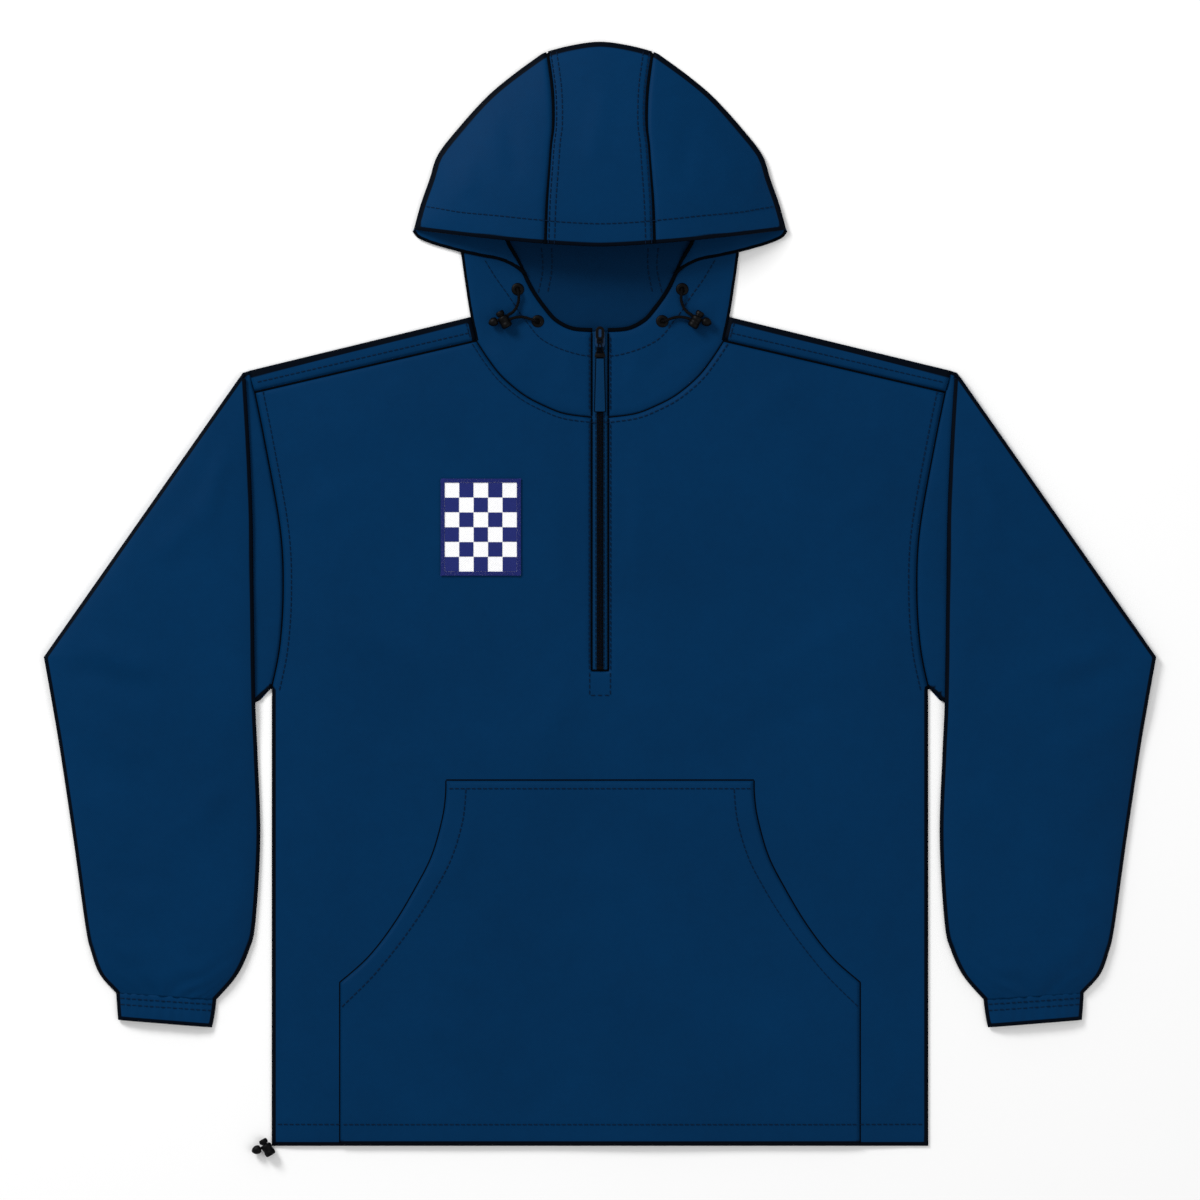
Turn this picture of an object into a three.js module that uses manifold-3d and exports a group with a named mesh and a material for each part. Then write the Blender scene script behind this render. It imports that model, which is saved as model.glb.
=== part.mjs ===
// A hooded half-zip anorak pullover, laid flat on its back with both sleeves folded down over the shoulders.
// Millimetres. +X is the garment's left-to-right width, +Y runs from hem to hood, +Z is up from the surface.
import * as THREE from "three";
import { mergeVertices } from "three/addons/utils/BufferGeometryUtils.js";
import Module from "manifold-3d";

const wasm = await Module();
wasm.setup();

// Cloth
const WALL = 1.2; // one ply with its seam allowance
const GAP = 0.3; // between two pieces that touch
const STEP = WALL + GAP; // from one lying layer to the next
const FRONT_EDGE_TOP = STEP + WALL; // top of the upper layer where it meets the lower one
const FRONT_LOFT = 2; // how far the upper layer rises over the chest

// Body, with y counted from the hem
const HALF_CHEST = 294;
const UNDERARM = 412;
const NECK_POINT = { x: 116, y: 743 };
const SHOULDER_TIP = { x: 320.4, y: 694 };
const ARMHOLE_TOP = { x: 314.5, y: 692.5 };
const ARMHOLE = [
  { x: 309.9, y: 676.5 },
  { x: 300.7, y: 631 },
  { x: 286.9, y: 553 },
  { x: 284.3, y: 497 },
  { x: 287.5, y: 447 },
  { x: HALF_CHEST, y: UNDERARM },
];
const BACK_NECK_DROP = 14;
const YOKE_SEAM = { inner: { x: 111.2, y: 722.7 }, outer: ARMHOLE[0] }; // shoulder seam, set forward
const NECK_SEAM = [
  { x: 111.2, y: 722.7 },
  { x: 99.8, y: 705.3 },
  { x: 87.2, y: 689.5 },
  { x: 68.2, y: 673.7 },
  { x: 49.3, y: 663.7 },
  { x: 30.3, y: 656.7 },
  { x: 0, y: 653 },
];

// Pouch pocket
const POCKET = { topHalf: 138, bottomHalf: 233.3, top: 327.6, mouthTop: 313, mouthBottom: 146.3 };
const POCKET_BOW = { x: 184, y: 215 }; // pulls the curved mouth inwards

// Half zip
const ZIP = { bottom: 426.6, top: 730.8, half: 7.2, coilHalf: 2.7, coilHeight: 1.5, sunk: 0.5 };
const SLIDER = { half: 4.6, from: 718.5, to: 734.5, height: 2.4 };
const PIN = { y: 721, radius: 0.6, above: 2.1, eyeInner: 0.95, eyeOuter: 1.8, eyeHalf: 1.6, lug: 1 };
const PULL = { tabTop: 707, tabBottom: 658, topHalf: 4.1, bottomHalf: 5.4, thick: 1.6 };
const PULL_LINK = { halfTop: 1.6, halfBottom: 4.8, crimp: 3.6, crimpExtra: 0.5 };

// Chest patch
const PATCH = { x: -107, y: 555, width: 72, height: 87, thick: 0.8 };

// Hood
const CROWN = [
  { x: 166.5, y: 822 },
  { x: 161, y: 845 },
  { x: 153, y: 867.6 },
  { x: 145.8, y: 889.2 },
  { x: 127.8, y: 912.6 },
  { x: 103.5, y: 939.6 },
  { x: 82.8, y: 957.6 },
  { x: 58.5, y: 975.6 },
  { x: 47.7, y: 981.9 },
  { x: 24, y: 988 },
  { x: 0, y: 990.9 },
];
const BRIM = { middle: 805.5, rise: 16.5, bend: 1.5 };
const CROWN_LOFT = 31;
const CROWN_ROWS = 8;
const CROWN_ROUND = { across: 2.5, along: 2.2 };
const CROWN_SEAM = [
  { x: 47.7, y: 983 },
  { x: 43.2, y: 957.6 },
  { x: 41.8, y: 939.6 },
  { x: 42.3, y: 912.6 },
  { x: 44.3, y: 889 },
  { x: 47.3, y: 845 },
  { x: 48.6, y: 807 },
  { x: 53.5, y: 775 },
  { x: 58, y: 728 },
];
const SIDE_RETURN = [
  { x: 166.5, y: 822 },
  { x: 154, y: 813.6 },
  { x: 138.6, y: 809.1 },
  { x: 121.5, y: 804.6 },
  { x: 105.3, y: 800.1 },
  { x: 90, y: 795.6 },
  { x: 77, y: 789 },
  { x: 67.5, y: 781 },
];
const RETURN_INNER = [
  { x: 75.6, y: 796.5 },
  { x: 82.8, y: 809.1 },
  { x: 88, y: 824 },
];
const MOUTH = [
  { x: 67.5, y: 781 },
  { x: 62, y: 768.6 },
  { x: 49.5, y: 750.6 },
  { x: 39.6, y: 739.8 },
  { x: 25, y: 732.6 },
  { x: ZIP.half, y: 730.8 },
];
const COLLAR_TUCKED = [
  { x: 75, y: 795 },
  { x: 82, y: 807 },
  { x: 100, y: 806 },
  { x: 118, y: 806 },
];
const NECK_SIDE = [
  { x: 123.3, y: 804.6 },
  { x: 119.7, y: 773.1 },
  { x: NECK_POINT.x, y: NECK_POINT.y + 3 },
  { x: 111.2, y: 722.7 },
];
const RETURN_FOLD_END = 837;
const FOLD_WIDTH = 1.4; // thickness of the cloth that turns round an outer fold

// Sleeve: the part under the fold, then the rows of the part folded over it
const ELBOW = { x: 499.3, y: 438.5 };
const UNDERARM_EDGE = [
  { x: 455, y: 418 },
  { x: 405, y: 406 },
  { x: 350, y: 399 },
  { x: 312, y: 399.6 },
  { x: HALF_CHEST, y: UNDERARM },
];
const SLEEVE_TOP = 2 * WALL + GAP; // top of the two plies under the fold
const SLEEVE_ROWS = [
  { outerX: 324, outerY: 688.9, innerX: 320.2, innerY: 688, base: SLEEVE_TOP + GAP, height: 2.8 },
  { outerX: 365, outerY: 630.3, innerX: 317, innerY: 627, base: SLEEVE_TOP + GAP, height: 4.6 },
  { outerX: 410, outerY: 566, innerX: 314.2, innerY: 564, base: SLEEVE_TOP + GAP, height: 5.6 },
  { outerX: 454.6, outerY: 502.3, innerX: 313.1, innerY: 500, base: SLEEVE_TOP + GAP, height: 6 },
  { outerX: ELBOW.x, outerY: ELBOW.y, innerX: 312.5, innerY: 440, base: SLEEVE_TOP + GAP, height: 6 },
  { outerX: 491, outerY: 394, innerX: 311.6, innerY: 392, base: SLEEVE_TOP + GAP, height: 6 },
  { outerX: 483.6, outerY: 350, innerX: 309.6, innerY: 350, base: 0, height: 6 },
  { outerX: 471.5, outerY: 269.6, innerX: 307.2, innerY: 276, base: 0, height: 6 },
  { outerX: 461.4, outerY: 196.3, innerX: 311.4, innerY: 200, base: 0, height: 6.4 },
  { outerX: 456.3, outerY: 173.6, innerX: 317, innerY: 175, base: 0, height: 6.8 },
  { outerX: 448.7, outerY: 153.4, innerX: 327.5, innerY: 152, base: 0, height: 7 },
  { outerX: 434.3, outerY: 136.6, innerX: 344.6, innerY: 130.6, base: 0, height: 6.4 },
];
const CUFF_ROWS = [
  { outerX: 434.3, outerY: 136.3, innerX: 344.6, innerY: 130.3, base: 0, height: 6.4 },
  { outerX: 433.6, outerY: 124, innerX: 346.2, innerY: 118, base: 0, height: 6.2 },
  { outerX: 432.8, outerY: 112.8, innerX: 348.6, innerY: 106, base: 0, height: 6 },
];
const FOLD_ROLL = 2.4; // width of the rolled fold at the shoulder
const FOLD_EDGE = 1.5; // half the height of the tube's folded edges
const TUBE_SIDES = 20;

// Drawcord hardware: places on the hood's left front, then the same set at the hem
const CORD_RADIUS = 1.35;
const EYELETS = { upper: { x: -73.8, y: 768.6 }, lower: { x: -55.8, y: 739.8 } };
const EYELET = { inner: 2, outer: 5.7, thick: 1.2, lip: 0.5 };
const LOCK = { x: -85.3, y: 739.2, radius: 4.9, half: 5.6, turn: 2 / 3 * Math.PI };
const BUTTON = { x: -89.6, y: 746.6, radius: 4, half: 2.3 };
const CORD_END = { x: -95.3, y: 739.15, radius: 4, length: 8.6, turn: 1.11 * Math.PI };
const HEM_SHIFT = { x: -212.5, y: -743 };
const CORD_ROUTES = {
  upper: [
    { x: -73.8, y: 768.6, z: 0.3 },
    { x: -73.6, y: 767.4, z: 2.6 },
    { x: -73.1, y: 764.9, z: 4.2 },
    { x: -72.8, y: 761.2, z: 2.6 },
    { x: -73.2, y: 757.2, z: 1.9 },
    { x: -75, y: 752.2, z: 2.3 },
    { x: -78.2, y: 747.9, z: 3.8 },
    { x: -82.4, y: 745.2, z: 4.9 },
  ],
  lower: [
    { x: -55.8, y: 739.8, z: 0.3 },
    { x: -56.8, y: 740, z: 2.6 },
    { x: -59.2, y: 740.6, z: 4.2 },
    { x: -62.8, y: 741.8, z: 2.6 },
    { x: -67.2, y: 743.2, z: 1.9 },
    { x: -71.8, y: 743.6, z: 2.5 },
    { x: -76.4, y: 743, z: 4 },
    { x: -80.4, y: 741.6, z: 4.9 },
  ],
};
const CORD_STEPS = 14;

// Frame
const ORIGIN_Y = 490.3; // from the hem up to the middle of the whole garment
const CELL = 45; // grid of the large panels
const FINE_CELL = 15; // grid of the hood

const cloth = (color) => new THREE.MeshStandardMaterial({ color, roughness: 0.75, metalness: 0 });
const hard = (color, roughness) => new THREE.MeshStandardMaterial({ color, roughness, metalness: 0.1 });
const materials = {
  shell: cloth(0x022e53),
  rib: cloth(0x022a4c),
  zipTape: cloth(0x052842),
  black: hard(0x080808, 0.5),
  cord: cloth(0x0a0a0b),
  patch: cloth(0xf2f2f0),
};

// Closed meshes and booleans
function toSolid(geometry) {
  const bare = geometry.index ? geometry.toNonIndexed() : geometry.clone();
  bare.deleteAttribute("normal");
  bare.deleteAttribute("uv");
  const merged = mergeVertices(bare, 1e-4);
  const corners = [...merged.index.array];
  const triVerts = [];
  for (let i = 0; i < corners.length; i += 3) {
    const [a, b, c] = corners.slice(i, i + 3);
    if (a !== b && b !== c && c !== a) triVerts.push(a, b, c);
  }
  return new wasm.Manifold(
    new wasm.Mesh({
      numProp: 3,
      vertProperties: merged.attributes.position.array,
      triVerts: new Uint32Array(triVerts),
    }),
  );
}

function toGeometry(solid) {
  const { vertProperties, triVerts } = solid.getMesh();
  const geometry = new THREE.BufferGeometry();
  geometry.setAttribute("position", new THREE.BufferAttribute(new Float32Array(vertProperties), 3));
  geometry.setIndex(new THREE.BufferAttribute(new Uint32Array(triVerts), 1));
  geometry.computeVertexNormals();
  return geometry;
}

function meshOf(points, triangles) {
  const geometry = new THREE.BufferGeometry();
  geometry.setAttribute("position", new THREE.Float32BufferAttribute(points, 3));
  geometry.setIndex(triangles);
  return geometry;
}

// Small helpers for outlines, with tables given for the side where x is positive
const smooth = (t) => {
  const s = Math.min(1, Math.max(0, t));
  return s * s * (3 - 2 * s);
};
const mirrored = (points) => points.map((p) => ({ ...p, x: -p.x }));
const reversed = (points) => [...points].reverse();

function xAtY(table, y) {
  const rows = table[0].y < table[table.length - 1].y ? table : reversed(table);
  if (y <= rows[0].y) return rows[0].x;
  for (let i = 1; i < rows.length; i++)
    if (y <= rows[i].y)
      return THREE.MathUtils.mapLinear(y, rows[i - 1].y, rows[i].y, rows[i - 1].x, rows[i].x);
  return rows[rows.length - 1].x;
}

function curveThrough(points, samples) {
  const curve = new THREE.SplineCurve(points.map((p) => new THREE.Vector2(p.x, p.y)));
  return curve.getPoints(samples);
}

function shapeOf(points) {
  const apart = points.filter((p, i) => {
    const last = points[(i + points.length - 1) % points.length];
    return Math.hypot(p.x - last.x, p.y - last.y) > 0.05;
  });
  return new THREE.Shape(apart.map((p) => new THREE.Vector2(p.x, p.y)));
}

function prism(points, from, to) {
  const geometry = new THREE.ExtrudeGeometry(shapeOf(points), { depth: to - from, bevelEnabled: false });
  return toSolid(geometry.translate(0, 0, from));
}

// A wall of cloth: a grid whose top follows topAt, cut to an outline
function sheet(outline, topAt, thickness, cell) {
  const box = new THREE.Box2().setFromPoints(outline.map((p) => new THREE.Vector2(p.x, p.y)));
  const first = { x: Math.floor(box.min.x / cell - 0.05), y: Math.floor(box.min.y / cell - 0.05) };
  const columns = Math.ceil(box.max.x / cell + 0.05) - first.x;
  const rows = Math.ceil(box.max.y / cell + 0.05) - first.y;
  const at = (i, j) => ({ x: (first.x + i) * cell, y: (first.y + j) * cell });
  return wall(columns, rows, at, topAt, thickness).intersect(prism(outline, -5, 80));
}

// Two offset layers over a grid of plan points, closed round the rim
function wall(columns, rows, planAt, topAt, thickness) {
  const points = [];
  for (const drop of [0, thickness])
    for (let j = 0; j <= rows; j++)
      for (let i = 0; i <= columns; i++) {
        const { x, y } = planAt(i, j);
        points.push(x, y, topAt(x, y, i / columns, j / rows) - drop);
      }
  const under = (rows + 1) * (columns + 1);
  const at = (i, j) => j * (columns + 1) + i;
  const triangles = [];
  for (let j = 0; j < rows; j++)
    for (let i = 0; i < columns; i++) {
      const [a, b, c, d] = [at(i, j), at(i + 1, j), at(i + 1, j + 1), at(i, j + 1)];
      triangles.push(a, b, c, a, c, d);
      triangles.push(a + under, c + under, b + under, a + under, d + under, c + under);
    }
  const rim = [];
  for (let i = 0; i < columns; i++) rim.push(at(i, 0));
  for (let j = 0; j < rows; j++) rim.push(at(columns, j));
  for (let i = columns; i > 0; i--) rim.push(at(i, rows));
  for (let j = rows; j > 0; j--) rim.push(at(0, j));
  rim.forEach((a, k) => {
    const b = rim[(k + 1) % rim.length];
    triangles.push(a, a + under, b + under, a, b + under, b);
  });
  return toSolid(meshOf(points, triangles));
}

// A flattened tube of cloth through a table of rows, open at its last row
function rowPoint(row, across, z) {
  return [
    -THREE.MathUtils.lerp(row.innerX, row.outerX, (across + 1) / 2),
    THREE.MathUtils.lerp(row.innerY, row.outerY, (across + 1) / 2),
    row.base + z,
  ];
}

function ringOf(row, inset) {
  const width = Math.hypot(row.outerX - row.innerX, row.outerY - row.innerY);
  const reach = 1 - (2 * inset) / width;
  const ring = [];
  for (let k = 0; k < TUBE_SIDES; k++) {
    const angle = (2 * Math.PI * k) / TUBE_SIDES;
    const across = Math.cos(angle) * reach;
    const edge = Math.min(FOLD_EDGE, row.height / 2);
    const top = edge + (row.height - edge) * Math.sqrt(1 - Math.abs(across) ** 4) - inset;
    const bottom = edge * Math.abs(across) ** 10 + inset;
    const middle = (top + bottom) / 2;
    const least = inset ? 0.15 : 0;
    const z = Math.sin(angle) >= 0 ? Math.max(top, middle + least) : Math.min(bottom, middle - least);
    const folded = Math.abs(Math.sin(angle)) < 1e-9;
    ring.push(rowPoint(row, across, folded ? middle : z));
  }
  return ring;
}

// Adds a row halfway between each two, following their curve
function rowsBetween(table) {
  const rows = [];
  const halfway = (key, i) => {
    const [row, next] = [table[i], table[i + 1]];
    const straight = (row[key] + next[key]) / 2;
    if (key === "base" || key === "height" || i === 0 || !table[i + 2]) return straight;
    return straight + (row[key] + next[key] - table[i - 1][key] - table[i + 2][key]) / 16;
  };
  table.forEach((row, i) => {
    rows.push(row);
    if (!table[i + 1]) return;
    rows.push(Object.fromEntries(Object.keys(row).map((key) => [key, halfway(key, i)])));
  });
  return rows;
}

function tube(rows, hollowFrom) {
  const rings = rows.map((row) => ringOf(row, 0));
  const inner = rows.slice(hollowFrom).map((row) => ringOf(row, WALL));
  const bothEndsOpen = hollowFrom === 0;
  const all = [...rings, ...reversed(inner)];
  const points = all.flat(2);
  const triangles = [];
  const bridge = (from, to) => {
    for (let k = 0; k < TUBE_SIDES; k++) {
      const next = (k + 1) % TUBE_SIDES;
      const [a, b] = [from * TUBE_SIDES + k, from * TUBE_SIDES + next];
      const [c, d] = [to * TUBE_SIDES + next, to * TUBE_SIDES + k];
      triangles.push(a, b, c, a, c, d);
    }
  };
  const cap = (ring, turn) => {
    const centre = points.length / 3;
    const corners = all[ring];
    points.push(...[0, 1, 2].map((axis) => corners.reduce((sum, p) => sum + p[axis], 0) / TUBE_SIDES));
    for (let k = 0; k < TUBE_SIDES; k++) {
      const next = (k + 1) % TUBE_SIDES;
      const [a, b] = [ring * TUBE_SIDES + k, ring * TUBE_SIDES + next];
      triangles.push(...(turn ? [centre, b, a] : [centre, a, b]));
    }
  };
  for (let i = 0; i + 1 < all.length; i++) bridge(i, i + 1);
  if (bothEndsOpen) bridge(all.length - 1, 0);
  else {
    cap(0, true);
    cap(all.length - 1, false);
  }
  const made = toSolid(meshOf(points, triangles));
  if (made.volume() > 0) return made;
  for (let i = 0; i < triangles.length; i += 3)
    [triangles[i + 1], triangles[i + 2]] = [triangles[i + 2], triangles[i + 1]];
  return toSolid(meshOf(points, triangles));
}

// Heights of the upper layer over the body and the collar
function shoulderLine(x) {
  const { inner, outer } = YOKE_SEAM;
  if (Math.abs(x) < inner.x) return inner.y + (inner.x - Math.abs(x)) * 0.6;
  return THREE.MathUtils.mapLinear(Math.abs(x), inner.x, outer.x, inner.y, outer.y);
}

function frontTop(x, y) {
  const side = y < UNDERARM ? HALF_CHEST : xAtY([...ARMHOLE, ARMHOLE_TOP], y);
  const fromSide = smooth((side - Math.abs(x)) / 60);
  const fromTop = smooth((shoulderLine(x) - y) / 60);
  const fromHem = smooth((y + 20) / 50);
  return FRONT_EDGE_TOP + FRONT_LOFT * fromSide * fromTop * fromHem;
}

// Body panels
const armholeCurve = (shift) =>
  curveThrough(ARMHOLE, 16).map((p) => ({ x: p.x - shift, y: p.y }));

function backPanel() {
  const neck = [];
  for (let i = 0; i <= 8; i++) {
    const x = NECK_POINT.x * (1 - i / 4);
    neck.push({ x, y: NECK_POINT.y - BACK_NECK_DROP * (1 - (x / NECK_POINT.x) ** 2) });
  }
  const right = [{ x: HALF_CHEST, y: 0 }, ...reversed(armholeCurve(0)), ARMHOLE_TOP];
  const outline = [...right, ...neck, ...mirrored(reversed(right))];
  const strip = [ARMHOLE_TOP, NECK_POINT, YOKE_SEAM.inner, YOKE_SEAM.outer];
  const fold = [ARMHOLE_TOP, NECK_POINT];
  const turned = reversed(fold).map((p) => ({ x: p.x - 0.4, y: p.y - FOLD_WIDTH }));
  let made = prism(outline, 0, WALL);
  for (const place of [(points) => points, mirrored]) {
    made = made.add(prism(place(strip), STEP, FRONT_EDGE_TOP));
    made = made.add(prism(place([...fold, ...turned]), 0, FRONT_EDGE_TOP));
  }
  return made;
}

function frontPanel() {
  const seam = [YOKE_SEAM.inner, YOKE_SEAM.outer].map((p) => ({ x: p.x, y: p.y - GAP }));
  const neck = curveThrough(NECK_SEAM, 20).map((p) => ({ x: p.x, y: p.y - GAP }));
  const armhole = reversed(armholeCurve(0)).filter((p) => p.y < seam[1].y - 2);
  const right = [{ x: HALF_CHEST, y: 0 }, ...armhole, seam[1], ...neck];
  const outline = [...right, ...mirrored(reversed(right)).slice(1)];
  return sheet(outline, frontTop, WALL, CELL).subtract(zipSlot());
}

const zipSlot = () => block(-ZIP.half, ZIP.half, ZIP.bottom, ZIP.top + 5, -5, 80);

function pouchPocket() {
  const mouth = new THREE.QuadraticBezierCurve(
    new THREE.Vector2(POCKET.bottomHalf, POCKET.mouthBottom),
    new THREE.Vector2(POCKET_BOW.x - 28, POCKET_BOW.y + 8),
    new THREE.Vector2(POCKET.topHalf, POCKET.mouthTop),
  ).getPoints(14);
  const right = [{ x: POCKET.bottomHalf, y: 0 }, ...mouth, { x: POCKET.topHalf, y: POCKET.top }];
  const outline = [...right, ...mirrored(reversed(right))];
  return sheet(outline, (x, y) => frontTop(x, y) + STEP, WALL, CELL);
}

function chestPatch() {
  const { x, y, width, height, thick } = PATCH;
  const corners = [
    { x: x - width / 2, y: y - height / 2 },
    { x: x + width / 2, y: y - height / 2 },
    { x: x + width / 2, y: y + height / 2 },
    { x: x - width / 2, y: y + height / 2 },
  ];
  return sheet(corners, (px, py) => frontTop(px, py) + GAP + thick, thick, CELL);
}

// Half zip
function zipStrip(half, topAt, thickness, from, to) {
  const corners = [
    { x: -half, y: from },
    { x: half, y: from },
    { x: half, y: to },
    { x: -half, y: to },
  ];
  return sheet(corners, topAt, thickness, CELL);
}
const tapeTop = (x, y) => frontTop(0, y) - ZIP.sunk;
const coilTop = (x, y) => tapeTop(x, y) + GAP + ZIP.coilHeight;
const coilHigh = FRONT_EDGE_TOP + FRONT_LOFT - ZIP.sunk + GAP + ZIP.coilHeight;
const sliderFloor = coilHigh + GAP;
const pinZ = sliderFloor + SLIDER.height + PIN.above;

function roundBar(x0, x1, y, z, radius) {
  const bar = new THREE.CylinderGeometry(radius, radius, x1 - x0, 16);
  return toSolid(bar.rotateZ(Math.PI / 2).translate((x0 + x1) / 2, y, z));
}

function block(x0, x1, y0, y1, z0, z1) {
  const box = new THREE.BoxGeometry(x1 - x0, y1 - y0, z1 - z0);
  return toSolid(box.translate((x0 + x1) / 2, (y0 + y1) / 2, (z0 + z1) / 2));
}

function zipSlider() {
  const { half, from, to, height } = SLIDER;
  const lugIn = PIN.eyeHalf + GAP;
  const lugOut = lugIn + PIN.lug;
  const plan = [
    { x: -half + 1, y: from },
    { x: half - 1, y: from },
    { x: half, y: from + 2 },
    { x: half, y: to - 4 },
    { x: half - 2.4, y: to },
    { x: -half + 2.4, y: to },
    { x: -half, y: to - 4 },
    { x: -half, y: from + 2 },
  ];
  let made = prism(plan, sliderFloor, sliderFloor + height);
  for (const [x0, x1] of [[lugIn, lugOut], [-lugOut, -lugIn]])
    made = made.add(block(x0, x1, PIN.y - 1.4, PIN.y + 1.4, sliderFloor + height - 0.5, pinZ + 1.1));
  return made.add(roundBar(-lugIn - 0.3, lugIn + 0.3, PIN.y, pinZ, PIN.radius));
}

const tabFloor = coilHigh + GAP;
function pullLink() {
  const { eyeOuter, eyeInner, eyeHalf, y } = PIN;
  const eye = roundBar(-eyeHalf, eyeHalf, y, pinZ, eyeOuter);
  const rise = [
    { x: -(y - 0.7), y: pinZ - 1.6 },
    { x: -(y - 3), y: pinZ - 1.75 },
    { x: -(y - 6), y: tabFloor },
    { x: -(PULL.tabTop + 2), y: tabFloor },
    { x: -(PULL.tabTop + 2), y: tabFloor + PULL.thick },
    { x: -(y - 7), y: tabFloor + 1.8 },
    { x: -(y - 0.7), y: pinZ + 1.2 },
  ];
  const arm = new THREE.ExtrudeGeometry(shapeOf(rise), { depth: 2 * eyeHalf, bevelEnabled: false });
  arm.rotateX(Math.PI / 2).rotateZ(-Math.PI / 2);
  const box = new THREE.Box3().setFromBufferAttribute(arm.attributes.position);
  arm.translate(-(box.min.x + box.max.x) / 2, 0, 0);
  const flare = [
    { x: -PULL_LINK.halfBottom, y: PULL.tabTop + GAP },
    { x: PULL_LINK.halfBottom, y: PULL.tabTop + GAP },
    { x: PULL_LINK.halfBottom, y: PULL.tabTop + PULL_LINK.crimp },
    { x: PULL_LINK.halfTop, y: PULL.tabTop + PULL_LINK.crimp + 0.6 },
    { x: -PULL_LINK.halfTop, y: PULL.tabTop + PULL_LINK.crimp + 0.6 },
    { x: -PULL_LINK.halfBottom, y: PULL.tabTop + PULL_LINK.crimp },
  ];
  const crimp = prism(flare, tabFloor, tabFloor + PULL.thick + PULL_LINK.crimpExtra);
  const hole = roundBar(-eyeHalf - 1, eyeHalf + 1, y, pinZ, eyeInner);
  return eye.add(toSolid(arm)).add(crimp).subtract(hole);
}

function pullTab() {
  const plan = [
    { x: -PULL.bottomHalf + 0.8, y: PULL.tabBottom },
    { x: PULL.bottomHalf - 0.8, y: PULL.tabBottom },
    { x: PULL.bottomHalf, y: PULL.tabBottom + 1 },
    { x: PULL.topHalf, y: PULL.tabTop },
    { x: -PULL.topHalf, y: PULL.tabTop },
    { x: -PULL.bottomHalf, y: PULL.tabBottom + 1 },
  ];
  return prism(plan, tabFloor, tabFloor + PULL.thick);
}

// Hood
const crownEdge = [...CROWN, ...reversed(mirrored(CROWN)).slice(1)];
const brimY = (x) => BRIM.middle + BRIM.rise * (Math.abs(x) / CROWN[0].x) ** BRIM.bend;
const crownFloor = 2 * STEP; // underside of the crown at its outer fold

// Rows run from the brim back to the outer fold, rising to the middle of the brim
function crownWall() {
  const columns = crownEdge.length - 1;
  const planAt = (i, j) => {
    const x = CROWN[0].x * ((2 * i) / columns - 1);
    const t = j / CROWN_ROWS;
    const edge = crownEdge[columns - i];
    return { x: THREE.MathUtils.lerp(x, edge.x, t), y: THREE.MathUtils.lerp(brimY(x), edge.y, t) };
  };
  const topAt = (x, y, s, t) => {
    const across = 1 - Math.abs(2 * s - 1) ** CROWN_ROUND.across;
    return crownFloor + WALL + CROWN_LOFT * across * (1 - t ** CROWN_ROUND.along);
  };
  return wall(columns, CROWN_ROWS, planAt, topAt, WALL);
}

function returnTop(x) {
  return STEP + WALL + STEP * smooth((135 - Math.abs(x)) / 14);
}

// The three crown pieces share the outline; the seam curve parts them
function crownRegion(side) {
  const seam = curveThrough(CROWN_SEAM, 24);
  const shift = (points, by) => points.map((p) => ({ x: p.x + by, y: p.y }));
  const low = { y: 700 };
  if (!side) {
    const right = [{ x: 69, ...low }, ...reversed(shift(seam, -GAP / 2)), { x: 49, y: 1010 }];
    return prism([...right, ...mirrored(reversed(right))], -5, 80);
  }
  const outer = [{ x: 220, ...low }, { x: 220, y: 1010 }];
  const region = [...outer, { x: 49.3, y: 1010 }, ...shift(seam, GAP / 2), { x: 69.3, ...low }];
  return prism(side > 0 ? region : mirrored(region), -5, 80);
}

function hoodShell() {
  const backNeck = [];
  for (let i = 0; i <= 8; i++) {
    const x = NECK_POINT.x * (i / 4 - 1);
    backNeck.push({ x, y: NECK_POINT.y + GAP - BACK_NECK_DROP * (1 - (x / NECK_POINT.x) ** 2) });
  }
  const wing = reversed(SIDE_RETURN.filter((p) => p.x > NECK_SIDE[0].x));
  const rise = [...reversed(NECK_SIDE.slice(0, 3)), ...wing];
  const lower = prism([...backNeck, ...rise, ...crownEdge, ...reversed(mirrored(rise))], 0, WALL);
  const inset = crownEdge.map((p) => ({
    x: p.x * (1 - FOLD_WIDTH / CROWN[0].x),
    y: p.y - FOLD_WIDTH * smooth((p.y - CROWN[0].y) / 60),
  }));
  const band = prism([...crownEdge, ...reversed(inset)], 0, crownFloor + WALL);
  return lower.add(crownWall()).add(band);
}

function sideReturn(side) {
  const tucked = 12;
  const brimBack = [];
  for (let i = 1; i < 6; i++) {
    const x = THREE.MathUtils.lerp(RETURN_INNER[2].x, CROWN[0].x, i / 6);
    brimBack.push({ x, y: brimY(x) + tucked });
  }
  const foldEnd = { x: xAtY(CROWN, RETURN_FOLD_END), y: RETURN_FOLD_END };
  const outline = [...SIDE_RETURN, ...RETURN_INNER, ...brimBack, foldEnd];
  return sheet(side > 0 ? outline : mirrored(outline), returnTop, WALL, FINE_CELL);
}

function hoodPieces() {
  const shell = hoodShell();
  const sides = [-1, 1].map((side) => shell.intersect(crownRegion(side)).add(sideReturn(side)));
  return { centre: shell.intersect(crownRegion(0)), sides };
}

function collarFront() {
  const neck = curveThrough(NECK_SEAM, 20);
  const mouth = [{ x: 0, y: ZIP.top }, ...curveThrough(reversed(MOUTH), 16)];
  const outline = [...neck, ...mouth, ...COLLAR_TUCKED, ...NECK_SIDE.slice(0, 3)];
  const clear = outline.map((p) => ({ x: p.x > 105 ? p.x - GAP : p.x, y: p.y }));
  return sheet(mirrored(clear), frontTop, WALL, FINE_CELL).subtract(zipSlot());
}

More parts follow.
